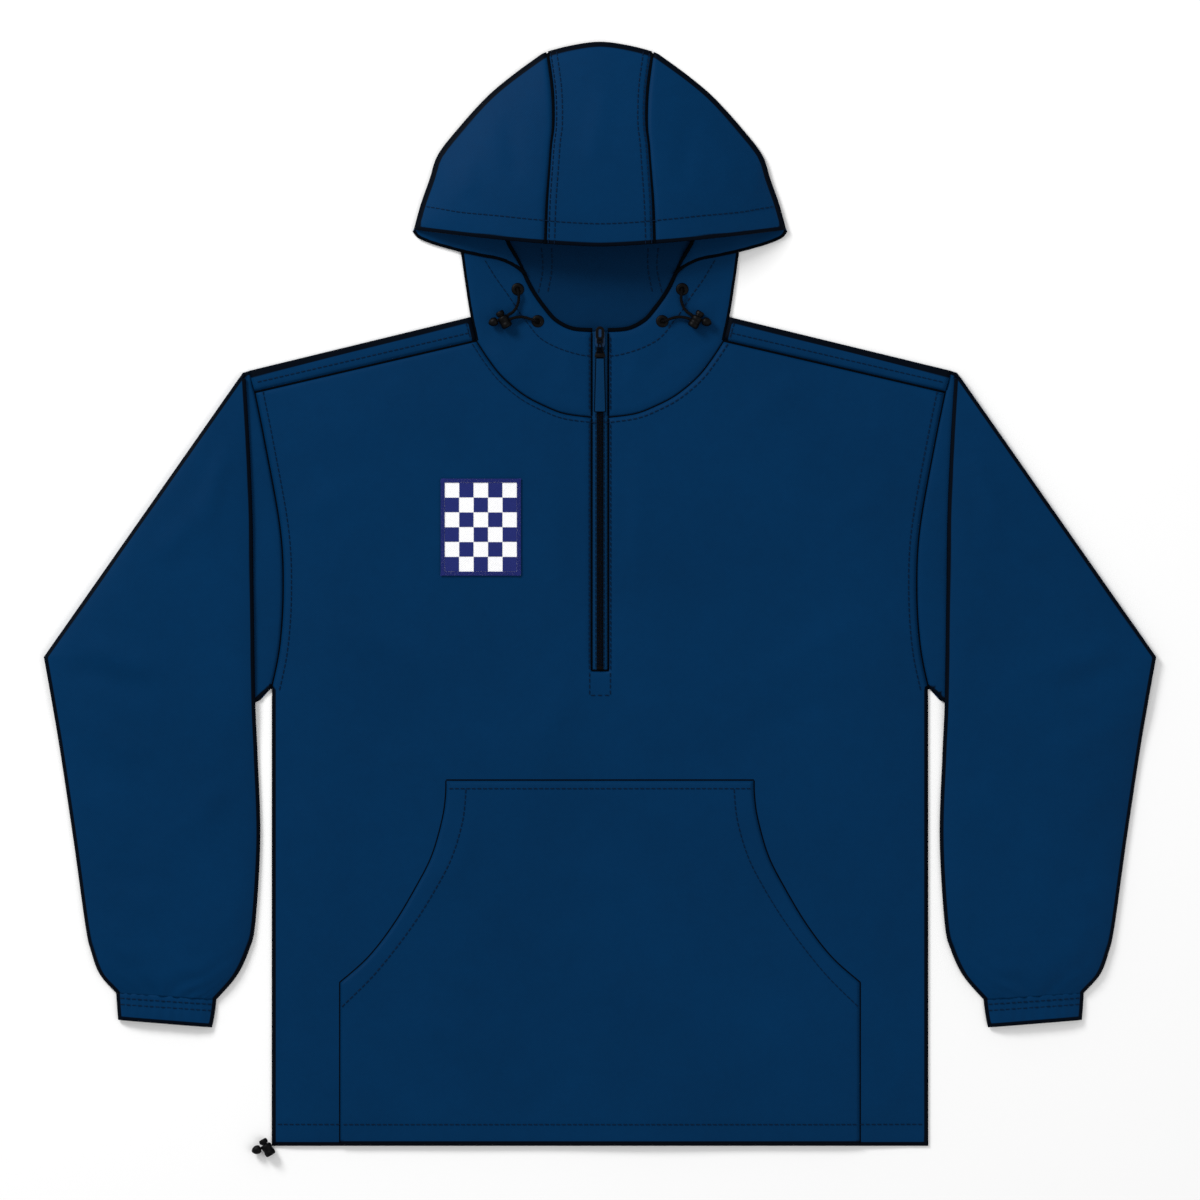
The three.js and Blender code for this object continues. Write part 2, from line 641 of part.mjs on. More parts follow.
// Sleeve and cuff, built for the side where x is negative
function sleeve() {
  const underarm = UNDERARM_EDGE.map((p) => ({ x: p.x, y: p.y }));
  underarm[underarm.length - 1].x += GAP;
  const armhole = reversed(armholeCurve(-GAP)).slice(1);
  const slab = [SHOULDER_TIP, ELBOW, ...underarm, ...armhole, { x: ARMHOLE_TOP.x + GAP, y: ARMHOLE_TOP.y }];
  const under = prism(mirrored(slab), 0, SLEEVE_TOP);
  const corner = SLEEVE_ROWS.findIndex((row) => row.outerX === ELBOW.x);
  const lower = rowsBetween(SLEEVE_ROWS.slice(corner));
  const rows = [...SLEEVE_ROWS.slice(0, corner), ...lower];
  const folded = tube(rows, 1);
  const along = new THREE.Vector2(ELBOW.x - SHOULDER_TIP.x, SHOULDER_TIP.y - ELBOW.y).normalize();
  const inward = { x: along.y * FOLD_ROLL, y: -along.x * FOLD_ROLL };
  const fold = mirrored([SHOULDER_TIP, ELBOW]);
  const rim = [...fold, ...reversed(fold).map((p) => ({ x: p.x + inward.x, y: p.y + inward.y }))];
  return under.add(folded).add(prism(rim, 0, SLEEVE_TOP + GAP + 2));
}

// Cord hardware
function floorOver(place, radius) {
  const heights = [];
  for (let k = 0; k < 8; k++) {
    const angle = (Math.PI * k) / 4;
    heights.push(frontTop(place.x + radius * Math.cos(angle), place.y + radius * Math.sin(angle)));
  }
  return Math.max(...heights) + GAP;
}
const lockFloor = Math.max(floorOver(LOCK, 12), floorOver(EYELETS.lower, EYELET.outer));

function eyelet(place, floor) {
  const { inner, outer, thick, lip } = EYELET;
  const profile = [
    [inner, 0],
    [outer, 0],
    [outer, thick - lip],
    [outer - lip, thick],
    [inner + lip, thick],
    [inner, thick - lip],
    [inner, 0],
  ].map(([r, h]) => new THREE.Vector2(r, h));
  const ring = new THREE.LatheGeometry(profile, 20).rotateX(Math.PI / 2);
  return toSolid(ring.translate(place.x, place.y, floor));
}

function barrel(centre, radius, half, turn, floor) {
  const ease = radius * 0.28;
  const profile = [
    [0, -half],
    [radius - ease, -half],
    [radius, -half + ease],
    [radius, half - ease],
    [radius - ease, half],
    [0, half],
  ].map(([r, h]) => new THREE.Vector2(r, h));
  const made = new THREE.LatheGeometry(profile, 14).rotateZ(turn - Math.PI / 2);
  return toSolid(made.translate(centre.x, centre.y, floor + radius));
}

function cordEnd(centre, floor) {
  const { radius, length, turn } = CORD_END;
  const profile = [
    [0, -length * 0.4],
    [radius * 0.7, -length * 0.36],
    [radius, -length * 0.12],
    [radius * 0.92, length * 0.2],
    [radius * 0.45, length * 0.45],
    [0, length * 0.6],
  ].map(([r, h]) => new THREE.Vector2(r, h));
  const made = new THREE.LatheGeometry(profile, 14).rotateZ(turn - Math.PI / 2);
  return toSolid(made.translate(centre.x, centre.y, floor + LOCK.radius));
}

function cordLock(shift, floor) {
  const at = (place) => ({ x: place.x + shift.x, y: place.y + shift.y });
  return {
    lock: barrel(at(LOCK), LOCK.radius, LOCK.half, LOCK.turn, floor),
    button: barrel(at(BUTTON), BUTTON.radius, BUTTON.half, LOCK.turn, floor + LOCK.radius - BUTTON.radius),
    end: cordEnd(at(CORD_END), floor),
  };
}

function cordTube(route, lift, steps) {
  const path = new THREE.CatmullRomCurve3(route.map((p) => new THREE.Vector3(p.x, p.y, p.z + lift)));
  const section = new THREE.Shape();
  for (let k = 0; k < 8; k++) {
    const angle = (Math.PI * k) / 4;
    const point = [CORD_RADIUS * Math.cos(angle), CORD_RADIUS * Math.sin(angle)];
    if (k) section.lineTo(...point);
    else section.moveTo(...point);
  }
  section.closePath();
  const geometry = new THREE.ExtrudeGeometry(section, { steps, extrudePath: path, bevelEnabled: false });
  return toSolid(geometry);
}

// Assembly
const anorak = new THREE.Group();
anorak.position.y = -ORIGIN_Y;

function put(group, name, solid, material) {
  const mesh = new THREE.Mesh(toGeometry(solid), material);
  mesh.name = name;
  group.add(mesh);
}

put(anorak, "back_panel", backPanel(), materials.shell);
put(anorak, "front_panel", frontPanel(), materials.shell);
put(anorak, "pouch_pocket", pouchPocket(), materials.shell);
put(anorak, "chest_patch", chestPatch(), materials.patch);
put(anorak, "zip_tape", zipStrip(ZIP.half - GAP, tapeTop, 0.8, ZIP.bottom + GAP, ZIP.top), materials.zipTape);
put(
  anorak,
  "zip_coil",
  zipStrip(ZIP.coilHalf, coilTop, ZIP.coilHeight, ZIP.bottom + GAP, ZIP.top),
  materials.black,
);
put(anorak, "zip_slider", zipSlider(), materials.black);
put(anorak, "zip_pull_link", pullLink(), materials.black);
put(anorak, "zip_pull_tab", pullTab(), materials.shell);

const hood = hoodPieces();
put(anorak, "hood_centre", hood.centre, materials.shell);
put(anorak, "hood_side_left", hood.sides[0], materials.shell);
put(anorak, "hood_side_right", hood.sides[1], materials.shell);

// The right side is the left one mirrored
for (const [name, scale] of [["left", 1], ["right", -1]]) {
  const side = new THREE.Group();
  side.scale.x = scale;
  anorak.add(side);
  put(side, `collar_${name}`, collarFront(), materials.shell);
  put(side, `sleeve_${name}`, sleeve(), materials.shell);
  put(side, `cuff_${name}`, tube(CUFF_ROWS, 0), materials.rib);
  for (const [level, place] of Object.entries(EYELETS)) {
    put(side, `eyelet_${level}_${name}`, eyelet(place, floorOver(place, EYELET.outer)), materials.black);
    put(side, `cord_${level}_${name}`, cordTube(CORD_ROUTES[level], lockFloor, CORD_STEPS), materials.cord);
  }
  const set = cordLock({ x: 0, y: 0 }, lockFloor);
  put(side, `cord_lock_${name}`, set.lock, materials.black);
  put(side, `cord_lock_button_${name}`, set.button, materials.black);
  put(side, `cord_end_${name}`, set.end, materials.black);
}

const hemSet = cordLock(HEM_SHIFT, 0);
put(anorak, "hem_lock", hemSet.lock, materials.black);
put(anorak, "hem_lock_button", hemSet.button, materials.black);
put(anorak, "hem_cord_end", hemSet.end, materials.black);

export default anorak;
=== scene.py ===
import math
import bmesh
import bpy
import numpy as np
from mathutils import Matrix, Vector


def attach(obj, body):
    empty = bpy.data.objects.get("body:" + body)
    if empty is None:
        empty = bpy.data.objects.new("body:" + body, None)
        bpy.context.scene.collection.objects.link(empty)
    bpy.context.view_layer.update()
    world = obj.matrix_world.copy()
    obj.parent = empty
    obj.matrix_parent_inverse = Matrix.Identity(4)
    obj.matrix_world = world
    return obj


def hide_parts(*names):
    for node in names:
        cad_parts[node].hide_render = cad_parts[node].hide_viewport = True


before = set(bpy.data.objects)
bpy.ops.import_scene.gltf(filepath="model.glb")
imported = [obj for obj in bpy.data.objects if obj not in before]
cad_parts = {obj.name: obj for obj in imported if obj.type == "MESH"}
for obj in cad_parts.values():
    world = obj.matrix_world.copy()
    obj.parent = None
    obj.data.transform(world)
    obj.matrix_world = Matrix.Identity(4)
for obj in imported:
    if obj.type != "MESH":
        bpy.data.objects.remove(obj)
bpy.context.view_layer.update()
print("frame loaded,", len(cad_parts), "nodes")

mm = 0.001
originY = 490.3  # the hem lies this far below the frame's middle
sides = {"left": -1, "right": 1}  # left and right in the picture

# camera, straight above, with a long lens
viewSettings = {"lens": 250.0, "sensor": 36.0, "width": 1.0778, "middle": (0.0, -0.0007), "farthest": 60}


def place(name, data):
    made = bpy.data.objects.new(name, data)
    bpy.context.scene.collection.objects.link(made)
    return made


def setCamera(settings):
    data = bpy.data.cameras.new("studioCamera")
    data.lens, data.sensor_width, data.clip_end = settings["lens"], settings["sensor"], settings["farthest"]
    camera = place("studioCamera", data)
    camera.location = (*settings["middle"], settings["lens"] * settings["width"] / settings["sensor"])
    bpy.context.scene.camera = camera
    bpy.context.scene.view_settings.view_transform = "Standard"


setCamera(viewSettings)

# floor, sky and lamps
studioSettings = {
    "floorSize": 14.0,
    "floorDrop": 0.0004,
    "floorColour": (0.93, 0.93, 0.93, 1),
    "sky": 0.56,
    "lamps": [
        {"name": "keyLamp", "place": (-2.4, 2.6, 2.2), "size": 1.3, "power": 140},
        {"name": "fillLamp", "place": (2.6, -1.4, 3.4), "size": 3.0, "power": 44},
    ],
}


def studio(settings):
    bm = bmesh.new()
    bmesh.ops.create_grid(bm, x_segments=2, y_segments=2, size=settings["floorSize"] / 2)
    bmesh.ops.translate(bm, vec=(0, 0, -settings["floorDrop"]), verts=bm.verts)
    mesh = bpy.data.meshes.new("floor")
    bm.to_mesh(mesh)
    bm.free()
    paper = bpy.data.materials.new("palePaper")
    paper.use_nodes = True
    shader = paper.node_tree.nodes["Principled BSDF"].inputs
    paint = {"Base Color": settings["floorColour"], "Roughness": 0.9, "Specular IOR Level": 0.1}
    for socket, value in paint.items():
        shader[socket].default_value = value
    mesh.materials.append(paper)
    place("floor", mesh)
    world = bpy.data.worlds.new("studioSky")
    bpy.context.scene.world = world
    world.use_nodes = True
    sky = world.node_tree.nodes["Background"]
    sky.inputs["Color"].default_value = (1, 1, 1, 1)
    sky.inputs["Strength"].default_value = settings["sky"]
    for row in settings["lamps"]:
        data = bpy.data.lights.new(row["name"], "AREA")
        data.size = row["size"]
        data.energy = row["power"]
        lamp = place(row["name"], data)
        lamp.location = row["place"]
        lamp.rotation_euler = (-Vector(row["place"])).to_track_quat("-Z", "Y").to_euler()


studio(studioSettings)
print("studio set")


# shader groups
midGrey = (0.1, 0.1, 0.1, 1)


def shaderGroup(name, inputs, outputs):
    tree = bpy.data.node_groups.new(name, "ShaderNodeTree")
    for socketName, kind, value in inputs:
        socket = tree.interface.new_socket(name=socketName, in_out="INPUT", socket_type="NodeSocket" + kind)
        socket.default_value = value
    for socketName, kind in outputs:
        tree.interface.new_socket(name=socketName, in_out="OUTPUT", socket_type="NodeSocket" + kind)
    return tree, tree.nodes.new("NodeGroupInput"), tree.nodes.new("NodeGroupOutput")


def feed(tree, sockets, values):  # each socket takes a number, a colour or another node's output
    for key, value in values:
        if isinstance(value, bpy.types.NodeSocket):
            tree.links.new(value, sockets[key])
        else:
            sockets[key].default_value = value


def mathNode(tree, operation, *values, clamp=False):
    node = tree.nodes.new("ShaderNodeMath")
    node.operation = operation
    node.use_clamp = clamp
    feed(tree, node.inputs, enumerate(values))
    return node.outputs[0]


def noiseNode(tree, vector, scale, detail=3.0, rough=0.5):
    node = tree.nodes.new("ShaderNodeTexNoise")
    feed(tree, node.inputs, {"Vector": vector, "Scale": scale, "Detail": detail, "Roughness": rough}.items())
    return node.outputs["Fac"]


def rangeNode(tree, *values, smooth="LINEAR"):  # the value, from low to high, to low to high
    node = tree.nodes.new("ShaderNodeMapRange")
    node.interpolation_type = smooth
    feed(tree, node.inputs, enumerate(values))
    return node.outputs[0]


def groupNode(tree, group, **values):
    node = tree.nodes.new("ShaderNodeGroup")
    node.node_tree = group
    feed(tree, node.inputs, values.items())
    return node.outputs


def scaleColour(tree, given, made, factor):  # the group's colour, scaled
    node = tree.nodes.new("ShaderNodeVectorMath")
    node.operation = "SCALE"
    feed(tree, node.inputs, ((0, given.outputs["Colour"]), ("Scale", factor)))
    tree.links.new(node.outputs["Vector"], made.inputs["Colour"])


def buildWeave():  # over and under threads of a plain weave; Shade is painted shade, raised threads lighter and sunk ones darker
    tree, given, made = shaderGroup(
        "plainWeave",
        [("Threads", "Float", 900.0), ("Depth", "Float", 1.0)],
        [("Height", "Float"), ("Shade", "Float")],
    )
    spot = tree.nodes.new("ShaderNodeTexCoord").outputs["Object"]
    parts = tree.nodes.new("ShaderNodeSeparateXYZ")
    tree.links.new(spot, parts.inputs[0])
    turns = mathNode(tree, "MULTIPLY", given.outputs["Threads"], math.pi)
    warp = mathNode(tree, "SINE", mathNode(tree, "MULTIPLY", parts.outputs["X"], turns))
    weft = mathNode(tree, "SINE", mathNode(tree, "MULTIPLY", parts.outputs["Y"], turns))
    cross = mathNode(tree, "MULTIPLY", warp, weft)
    slub = mathNode(tree, "SUBTRACT", noiseNode(tree, spot, 260.0, 2.0), 0.5)
    uneven = mathNode(tree, "ADD", cross, mathNode(tree, "MULTIPLY", slub, 1.4))
    height = mathNode(tree, "MULTIPLY", uneven, given.outputs["Depth"])
    tree.links.new(height, made.inputs["Height"])
    tree.links.new(mathNode(tree, "MULTIPLY_ADD", uneven, 0.5, 0.5), made.inputs["Shade"])
    return tree


def buildTone():  # slow changes of tone, paler worn spots, and the weave's painted shade
    tree, given, made = shaderGroup(
        "clothTone",
        [
            ("Colour", "Color", midGrey), ("Shade", "Float", 0.5),
            ("Dark", "Float", 0.9), ("Light", "Float", 1.12),
        ],
        [("Colour", "Color"), ("Spread", "Float")],
    )
    spot = tree.nodes.new("ShaderNodeTexCoord").outputs["Object"]
    wide = noiseNode(tree, spot, 7.0)
    near = noiseNode(tree, spot, 70.0, 4.0, 0.6)
    mixed = mathNode(tree, "MULTIPLY_ADD", wide, 0.55, mathNode(tree, "MULTIPLY", near, 0.25))
    # the weave's painted shade is added to the random tone
    spread = mathNode(tree, "MULTIPLY_ADD", given.outputs["Shade"], 0.2, mixed, clamp=True)
    factor = rangeNode(tree, spread, 0.3, 0.7, given.outputs["Dark"], given.outputs["Light"])
    scaleColour(tree, given, made, factor)
    tree.links.new(spread, made.inputs["Spread"])
    return tree


weaveGroup = buildWeave()
toneGroup = buildTone()


def linear(red, green, blue):  # a screen colour as light
    turned = [c / 255 for c in (red, green, blue)]
    return tuple(c / 12.92 if c <= 0.04045 else ((c + 0.055) / 1.055) ** 2.4 for c in turned) + (1,)


def buildEdgeShade():  # painted shade: the colour darkens near the cloth's turned edges and fold lines, by the edge attribute
    tree, given, made = shaderGroup(
        "turnedEdgePaintedShade",
        [("Colour", "Color", midGrey), ("Edge", "Float", 0.0), ("Dark", "Float", 0.06)],
        [("Colour", "Color")],
    )
    edge, dark = given.outputs["Edge"], given.outputs["Dark"]
    scaleColour(tree, given, made, rangeNode(tree, edge, 0.12, 0.3, 1.0, dark, smooth="SMOOTHSTEP"))
    return tree


edgeShadeGroup = buildEdgeShade()


def finishOf(name, settings):
    material = bpy.data.materials.new(name)
    material.use_nodes = True
    tree = material.node_tree
    weave = groupNode(tree, weaveGroup, Threads=settings.get("threads", 900.0))
    tone = groupNode(
        tree, toneGroup, Colour=settings["colour"], Shade=weave["Shade"],
        Dark=settings.get("dark", 0.9), Light=settings.get("light", 1.12))
    colour = tone["Colour"]
    # painted shade near turned edges and folds
    if settings.get("edgeShaded"):
        edge = tree.nodes.new("ShaderNodeAttribute")
        edge.attribute_name = "edge"
        colour = groupNode(tree, edgeShadeGroup, Colour=colour, Edge=edge.outputs["Fac"])["Colour"]
    bump = tree.nodes.new("ShaderNodeBump")
    feed(tree, bump.inputs, {
        "Strength": settings.get("bump", 0.35),
        "Distance": settings.get("relief", 0.00012),
        "Height": weave["Height"],
    }.items())
    rough, vary = settings["rough"], 0.06
    feed(tree, tree.nodes["Principled BSDF"].inputs, {
        "Base Color": colour,
        "Roughness": rangeNode(tree, tone["Spread"], 0.0, 1.0, rough - vary, rough + vary),
        "Specular IOR Level": settings["specular"],
        "Normal": bump.outputs["Normal"],
    }.items())
    return material


black = {"colour": linear(2, 2, 3)}
embroidered = {"threads": 1300.0, "bump": 0.7, "relief": 0.00025}
finishes = {
    # shell and inside get painted shade along their turned edges
    "shell": {"colour": linear(0, 42, 78), "rough": 0.6, "specular": 0.035, "edgeShaded": True},
    "inside": {"colour": linear(1, 35, 66), "rough": 0.7, "specular": 0.03, "edgeShaded": True},
    # near-black: painted shade in the seam grooves and beside the pocket's edges, and the real colour of the
    # dark bindings and of the pull tab's border
    "darkTrimAndSeamShade": {"colour": linear(1, 4, 9), "rough": 0.85, "specular": 0.03},
    "thread": {"colour": linear(1, 22, 46), "rough": 0.6, "specular": 0.06, "threads": 2400.0},
    "zipTape": {"colour": linear(0, 42, 76), "rough": 0.75, "specular": 0.06, "threads": 700.0, "bump": 0.6},
    "dyed": {"colour": linear(0, 40, 74), "rough": 0.45, "specular": 0.16, "threads": 500.0, "bump": 0.06},
    "coil": {
        **black, "rough": 0.6, "specular": 0.05, "threads": 300.0, "bump": 0.1, "dark": 0.7, "light": 1.3,
    },
    "painted": {**black, "rough": 0.5, "specular": 0.08, "threads": 500.0, "bump": 0.08},
    "moulded": {**black, "rough": 0.5, "specular": 0.09, "threads": 400.0, "bump": 0.12},
    "braid": {
        "colour": linear(2, 2, 4), "rough": 0.7, "specular": 0.08, "threads": 1500.0, "bump": 0.8,
        "relief": 0.0003,
    },
    "badgeWhite": {
        "colour": linear(250, 250, 252), "rough": 0.6, "specular": 0.1, "dark": 0.95, "light": 1.02,
        **embroidered,
    },
    "badgeIndigo": {"colour": linear(29, 38, 103), "rough": 0.55, "specular": 0.1, **embroidered},
}
materials = {name: finishOf(name, row) for name, row in finishes.items()}
print("finishes made")


# making and placing
def smoothStep(t):
    t = np.clip(t, 0, 1)
    return t * t * (3 - 2 * t)


def bendAt(rows, i, t):  # on the smooth line through the rows, a share t on from row i
    before, start, end, after = rows[max(i - 1, 0)], rows[i], rows[i + 1], rows[min(i + 2, len(rows) - 1)]
    bend = 2 * start + (end - before) * t
    bend += (2 * before - 5 * start + 4 * end - after) * t**2 + (3 * start - before - 3 * end + after) * t**3
    return bend / 2


def smoothPath(points, step):  # a smooth line through a few points
    rows = [Vector(p) for p in points]
    made = []
    for i in range(len(rows) - 1):
        count = max(1, math.ceil((rows[i + 1] - rows[i]).length / step))
        made += [tuple(bendAt(rows, i, k / count)) for k in range(count)]
    return made + [tuple(rows[-1])]


def growSheet(rows, bm=None, closed=False):  # a sheet through rows of places, or a tube through rings
    bm = bm or bmesh.new()
    corners = [bm.verts.new(p) for p in rows[0]]
    beside = (lambda row: zip(row, row[1:] + row[:1])) if closed else (lambda row: zip(row, row[1:]))
    edges = [bm.edges.new(pair) for pair in beside(corners)]
    for places in rows[1:]:
        grown = bmesh.ops.extrude_edge_only(bm, edges=edges)["geom"]
        new = {g for g in grown if isinstance(g, bmesh.types.BMVert)}
        corners = [next(e.other_vert(v) for e in v.link_edges if e.other_vert(v) in new) for v in corners]
        for corner, spot in zip(corners, places):
            corner.co = spot
        edges = [next(e for e in a.link_edges if e.other_vert(a) is b) for a, b in beside(corners)]
    return bm


def flipped(points, side=-1):
    return [(side * p[0], *p[1:]) for p in points]


def outlineArea(outline):
    x, y = np.array(outline).T
    return abs(np.dot(x, np.roll(y, -1)) - np.dot(y, np.roll(x, -1))) / 2


def insetOutline(outline, amount):
    points = np.array(outline, float)
    points = points[np.linalg.norm(points - np.roll(points, 1, 0), axis=1) > 0.05]
    x, y = points.T
    turn = 1 if np.dot(x, np.roll(y, -1)) - np.dot(y, np.roll(x, -1)) > 0 else -1
    ahead = np.roll(points, -1, 0) - points
    ahead /= np.linalg.norm(ahead, axis=1)[:, None]
    normals = np.stack([-ahead[:, 1], ahead[:, 0]], 1) * turn
    both = normals + np.roll(normals, 1, 0)
    return points + both * amount / np.maximum(0.6, (both**2).sum(1) / 2)[:, None]


def distanceTo(points, outline, closed=True):  # to the outline, and the nearest place on it
    starts = np.array(outline, float)
    ends = np.roll(starts, -1, 0)
    if not closed:
        starts, ends = starts[:-1], ends[:-1]
    best = np.full(len(points), 1e9)
    nearest = np.zeros((len(points), 2))
    for a, b in zip(starts, ends):
        along = b - a
        t = np.clip(((points - a) @ along) / max(1e-9, along @ along), 0, 1)
        spot = a + t[:, None] * along
        far = ((points - spot) ** 2).sum(1)
        closer = far < best
        best[closer] = far[closer]
        nearest[closer] = spot[closer]
    return np.sqrt(best), nearest


def insideOf(points, outline):
    x, y = points.T
    inside = np.zeros(len(points), bool)
    rows = np.array(outline, float)
    for (x0, y0), (x1, y1) in zip(rows, np.roll(rows, -1, 0)):
        if y0 == y1:
            continue
        crosses = ((y0 > y) != (y1 > y)) & (x < (x1 - x0) * (y - y0) / (y1 - y0) + x0)
        inside ^= crosses
    return inside


def clothGrid(outline, cell, rim=3.0):  # a fine grid cut to an outline, in millimetres
    points = np.array(outline, float)
    low, high = points.min(0), points.max(0)
    counts = [int(math.ceil(s / cell)) + 2 for s in high - low]
    bm = bmesh.new()
    bmesh.ops.create_grid(bm, x_segments=counts[0], y_segments=counts[1], size=0.5)
    bmesh.ops.scale(bm, vec=(counts[0] * cell, counts[1] * cell, 1), verts=bm.verts)
    bmesh.ops.translate(bm, vec=(*((low + high) / 2), 0), verts=bm.verts)
    bm.faces.ensure_lookup_table()
    middles = np.array([f.calc_center_median()[:2] for f in bm.faces])
    inside = insideOf(middles, points)
    bmesh.ops.delete(bm, geom=[f for f, keep in zip(bm.faces, inside) if not keep], context="FACES")
    border = [v for v in bm.verts if v.is_boundary]
    spots = distanceTo(np.array([v.co[:2] for v in border]), points)[1]
    for v, spot in zip(border, spots):
        v.co.xy = spot
    before, after = np.roll(points, 1, 0) - points, np.roll(points, -1, 0) - points
    lengths = np.linalg.norm(before, axis=1) * np.linalg.norm(after, axis=1)
    for corner in points[(before * after).sum(1) / np.maximum(1e-9, lengths) > -0.9]:
        nearest = min(border, key=lambda v: (v.co.x - corner[0]) ** 2 + (v.co.y - corner[1]) ** 2)
        nearest.co.xy = corner
    inner = {e.other_vert(v) for v in border for e in v.link_edges} - set(border)
    for _ in range(2):
        bmesh.ops.smooth_vert(bm, verts=list(inner), factor=0.5, use_axis_x=True, use_axis_y=True)
    if rim:
        bmesh.ops.inset_region(bm, faces=bm.faces[:], thickness=rim, use_boundary=True, use_even_offset=True)
    return bm


def creases(x, y, rows):  # soft ridges and troughs: ends, width, height, bow
    z = np.zeros_like(x)
    for x0, y0, x1, y1, width, height, bow in rows:
        dx, dy = x1 - x0, y1 - y0
        length = math.hypot(dx, dy)
        along = ((x - x0) * dx + (y - y0) * dy) / length**2
        across = ((y - y0) * dx - (x - x0) * dy) / length - bow * (1 - (2 * along - 1) ** 2)
        taper = smoothStep(along / 0.35) * smoothStep((1 - along) / 0.35)
        z += height * taper * np.exp(-((across / width) ** 2))
    return z


# how far the painted edge shade reaches, in millimetres
edgeShadeSettings = {"width": 4.4}


def markEdgeShade(bm, lines):  # where the painted edge shade goes: 1 on an edge line, falling to 0 beside it
    layer = bm.verts.layers.float.get("edge") or bm.verts.layers.float.new("edge")
    bm.verts.ensure_lookup_table()
    plan = np.array([v.co[:2] for v in bm.verts])
    far = np.min([distanceTo(plan, line, closed=False)[0] for line in lines], axis=0)
    for v, d in zip(bm.verts, far):
        v[layer] = max(v[layer], 1 - min(1, d / edgeShadeSettings["width"]))


def raiseSheet(bm, topAt, outline=None, drop=0.0, reach=2.2):  # lifts a flat grid to its height
    bm.verts.ensure_lookup_table()
    plan = np.array([v.co[:2] for v in bm.verts])
    z = topAt(plan[:, 0], plan[:, 1])
    if outline is not None and drop:
        far = distanceTo(plan, outline)[0]
        z = z - drop * np.exp(-((far / reach) ** 2))
    for v, height in zip(bm.verts, z):
        v.co.z = height
    return bm


def faceUp(bm, tube=False):  # turns a sheet's faces up, or a tube's faces out
    bmesh.ops.recalc_face_normals(bm, faces=bm.faces)
    heights = [f.calc_center_median().z for f in bm.faces]
    middle = sum(heights) / len(heights)
    up = sum(f.normal.z * f.calc_area() * (z - middle if tube else 1) for f, z in zip(bm.faces, heights))
    if up < 0:
        bmesh.ops.reverse_faces(bm, faces=bm.faces)


def piece(name, bm, finish, slot, nodes=(), body="garment", wall=0.0, inner=None, sharp=40, kind="grid"):
    bmesh.ops.translate(bm, vec=(0, -originY, 0), verts=bm.verts)  # from the hem to the frame's middle
    bmesh.ops.scale(bm, vec=(mm, mm, mm), verts=bm.verts)
    if kind == "solid":
        bmesh.ops.recalc_face_normals(bm, faces=bm.faces)
    elif kind != "grid":
        faceUp(bm, tube=kind == "tube")
    mesh = bpy.data.meshes.new(name)
    bm.to_mesh(mesh)
    bm.free()
    mesh.polygons.foreach_set("use_smooth", [True] * len(mesh.polygons))
    mesh.set_sharp_from_angle(angle=math.radians(sharp))
    made = place(name, mesh)
    mesh.materials.append(materials[finish])
    if wall:
        shell = made.modifiers.new("wall", "SOLIDIFY")
        shell.thickness = wall * mm
        shell.offset = -1
        if inner:
            mesh.materials.append(materials[inner])
            shell.material_offset = 1
    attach(made, body)
    if nodes:
        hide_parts(*nodes)
    return made


def layCloth(made, cut):  # works out a flat piece's area, width and length from its cut, as the smaller of its two boxes, and keeps none of them
    points = np.array(cut, float)
    area = outlineArea(points) * mm * mm
    turned = points @ np.linalg.svd(points - points.mean(0), full_matrices=False)[2].T
    width, length = sorted(min((np.ptp(points, 0), np.ptp(turned, 0)), key=np.prod) * mm)
    width = min(width, area / (0.4 * length))


def flatPiece(  # a flat cloth, cut to its outline and raised to its height
        name, cut, topAt, nodes=(), side=1, inset=0.3, cell=5.0, rim=3.0, drop=0.0, reach=2.2,
        marks=(), finish="shell", slot="shell", wall=0.9, inner=None):
    outline = insetOutline(flipped(cut, side), inset)
    bm = raiseSheet(clothGrid(outline, cell, rim), topAt, outline, drop, reach)
    if marks:
        markEdgeShade(bm, marks)
    layCloth(piece(name, bm, finish, slot, nodes, wall=wall, inner=inner), cut)


def planAndLeft(path):  # a line's plan, and the unit steps to its left
    rows = np.array([p[:2] for p in path], float)
    ahead = np.gradient(rows, axis=0)
    ahead /= np.linalg.norm(ahead, axis=1)[:, None]
    return rows, np.stack([-ahead[:, 1], ahead[:, 0]], 1)


def offsetPath(path, amount):  # to the left of the way it runs
    rows, left = planAndLeft(path)
    return [tuple(p) for p in rows + left * amount]


def ribbon(path, width, zAt, bm=None):  # a narrow flat strip along a line
    rows, left = planAndLeft(path)
    nears, fars = rows - left * width / 2, rows + left * width / 2
    borders = [[(*p, z) for p, z in zip(edge, zAt(*edge.T))] for edge in (nears, fars)]
    return growSheet(list(zip(*borders)), bm)


def binding(path, width, rise, zAt, bm=None):  # a narrow bound edge with a rounded top
    rows, left = planAndLeft(path)
    heights = zAt(*rows.T)
    across = []
    for k in range(7):
        share = k / 6 * 2 - 1
        lift = rise * math.sqrt(1 - share**4) - 0.25
        across.append([(*p, z + lift) for p, z in zip(rows + left * share * width / 2, heights)])
    return growSheet(across, bm)


def rod(bm, start, end, radius, sides=16):
    a, b = Vector(start), Vector(end)
    turn = (b - a).to_track_quat("Z", "Y").to_matrix().to_4x4()
    bmesh.ops.create_cone(
        bm, cap_ends=True, segments=sides, radius1=radius, radius2=radius, depth=(b - a).length,
        matrix=Matrix.Translation((a + b) / 2) @ turn)
    return bm


stitchSettings = {"length": 3.4, "pitch": 5.0, "radius": 0.42, "sink": 0.12, "sides": 6}


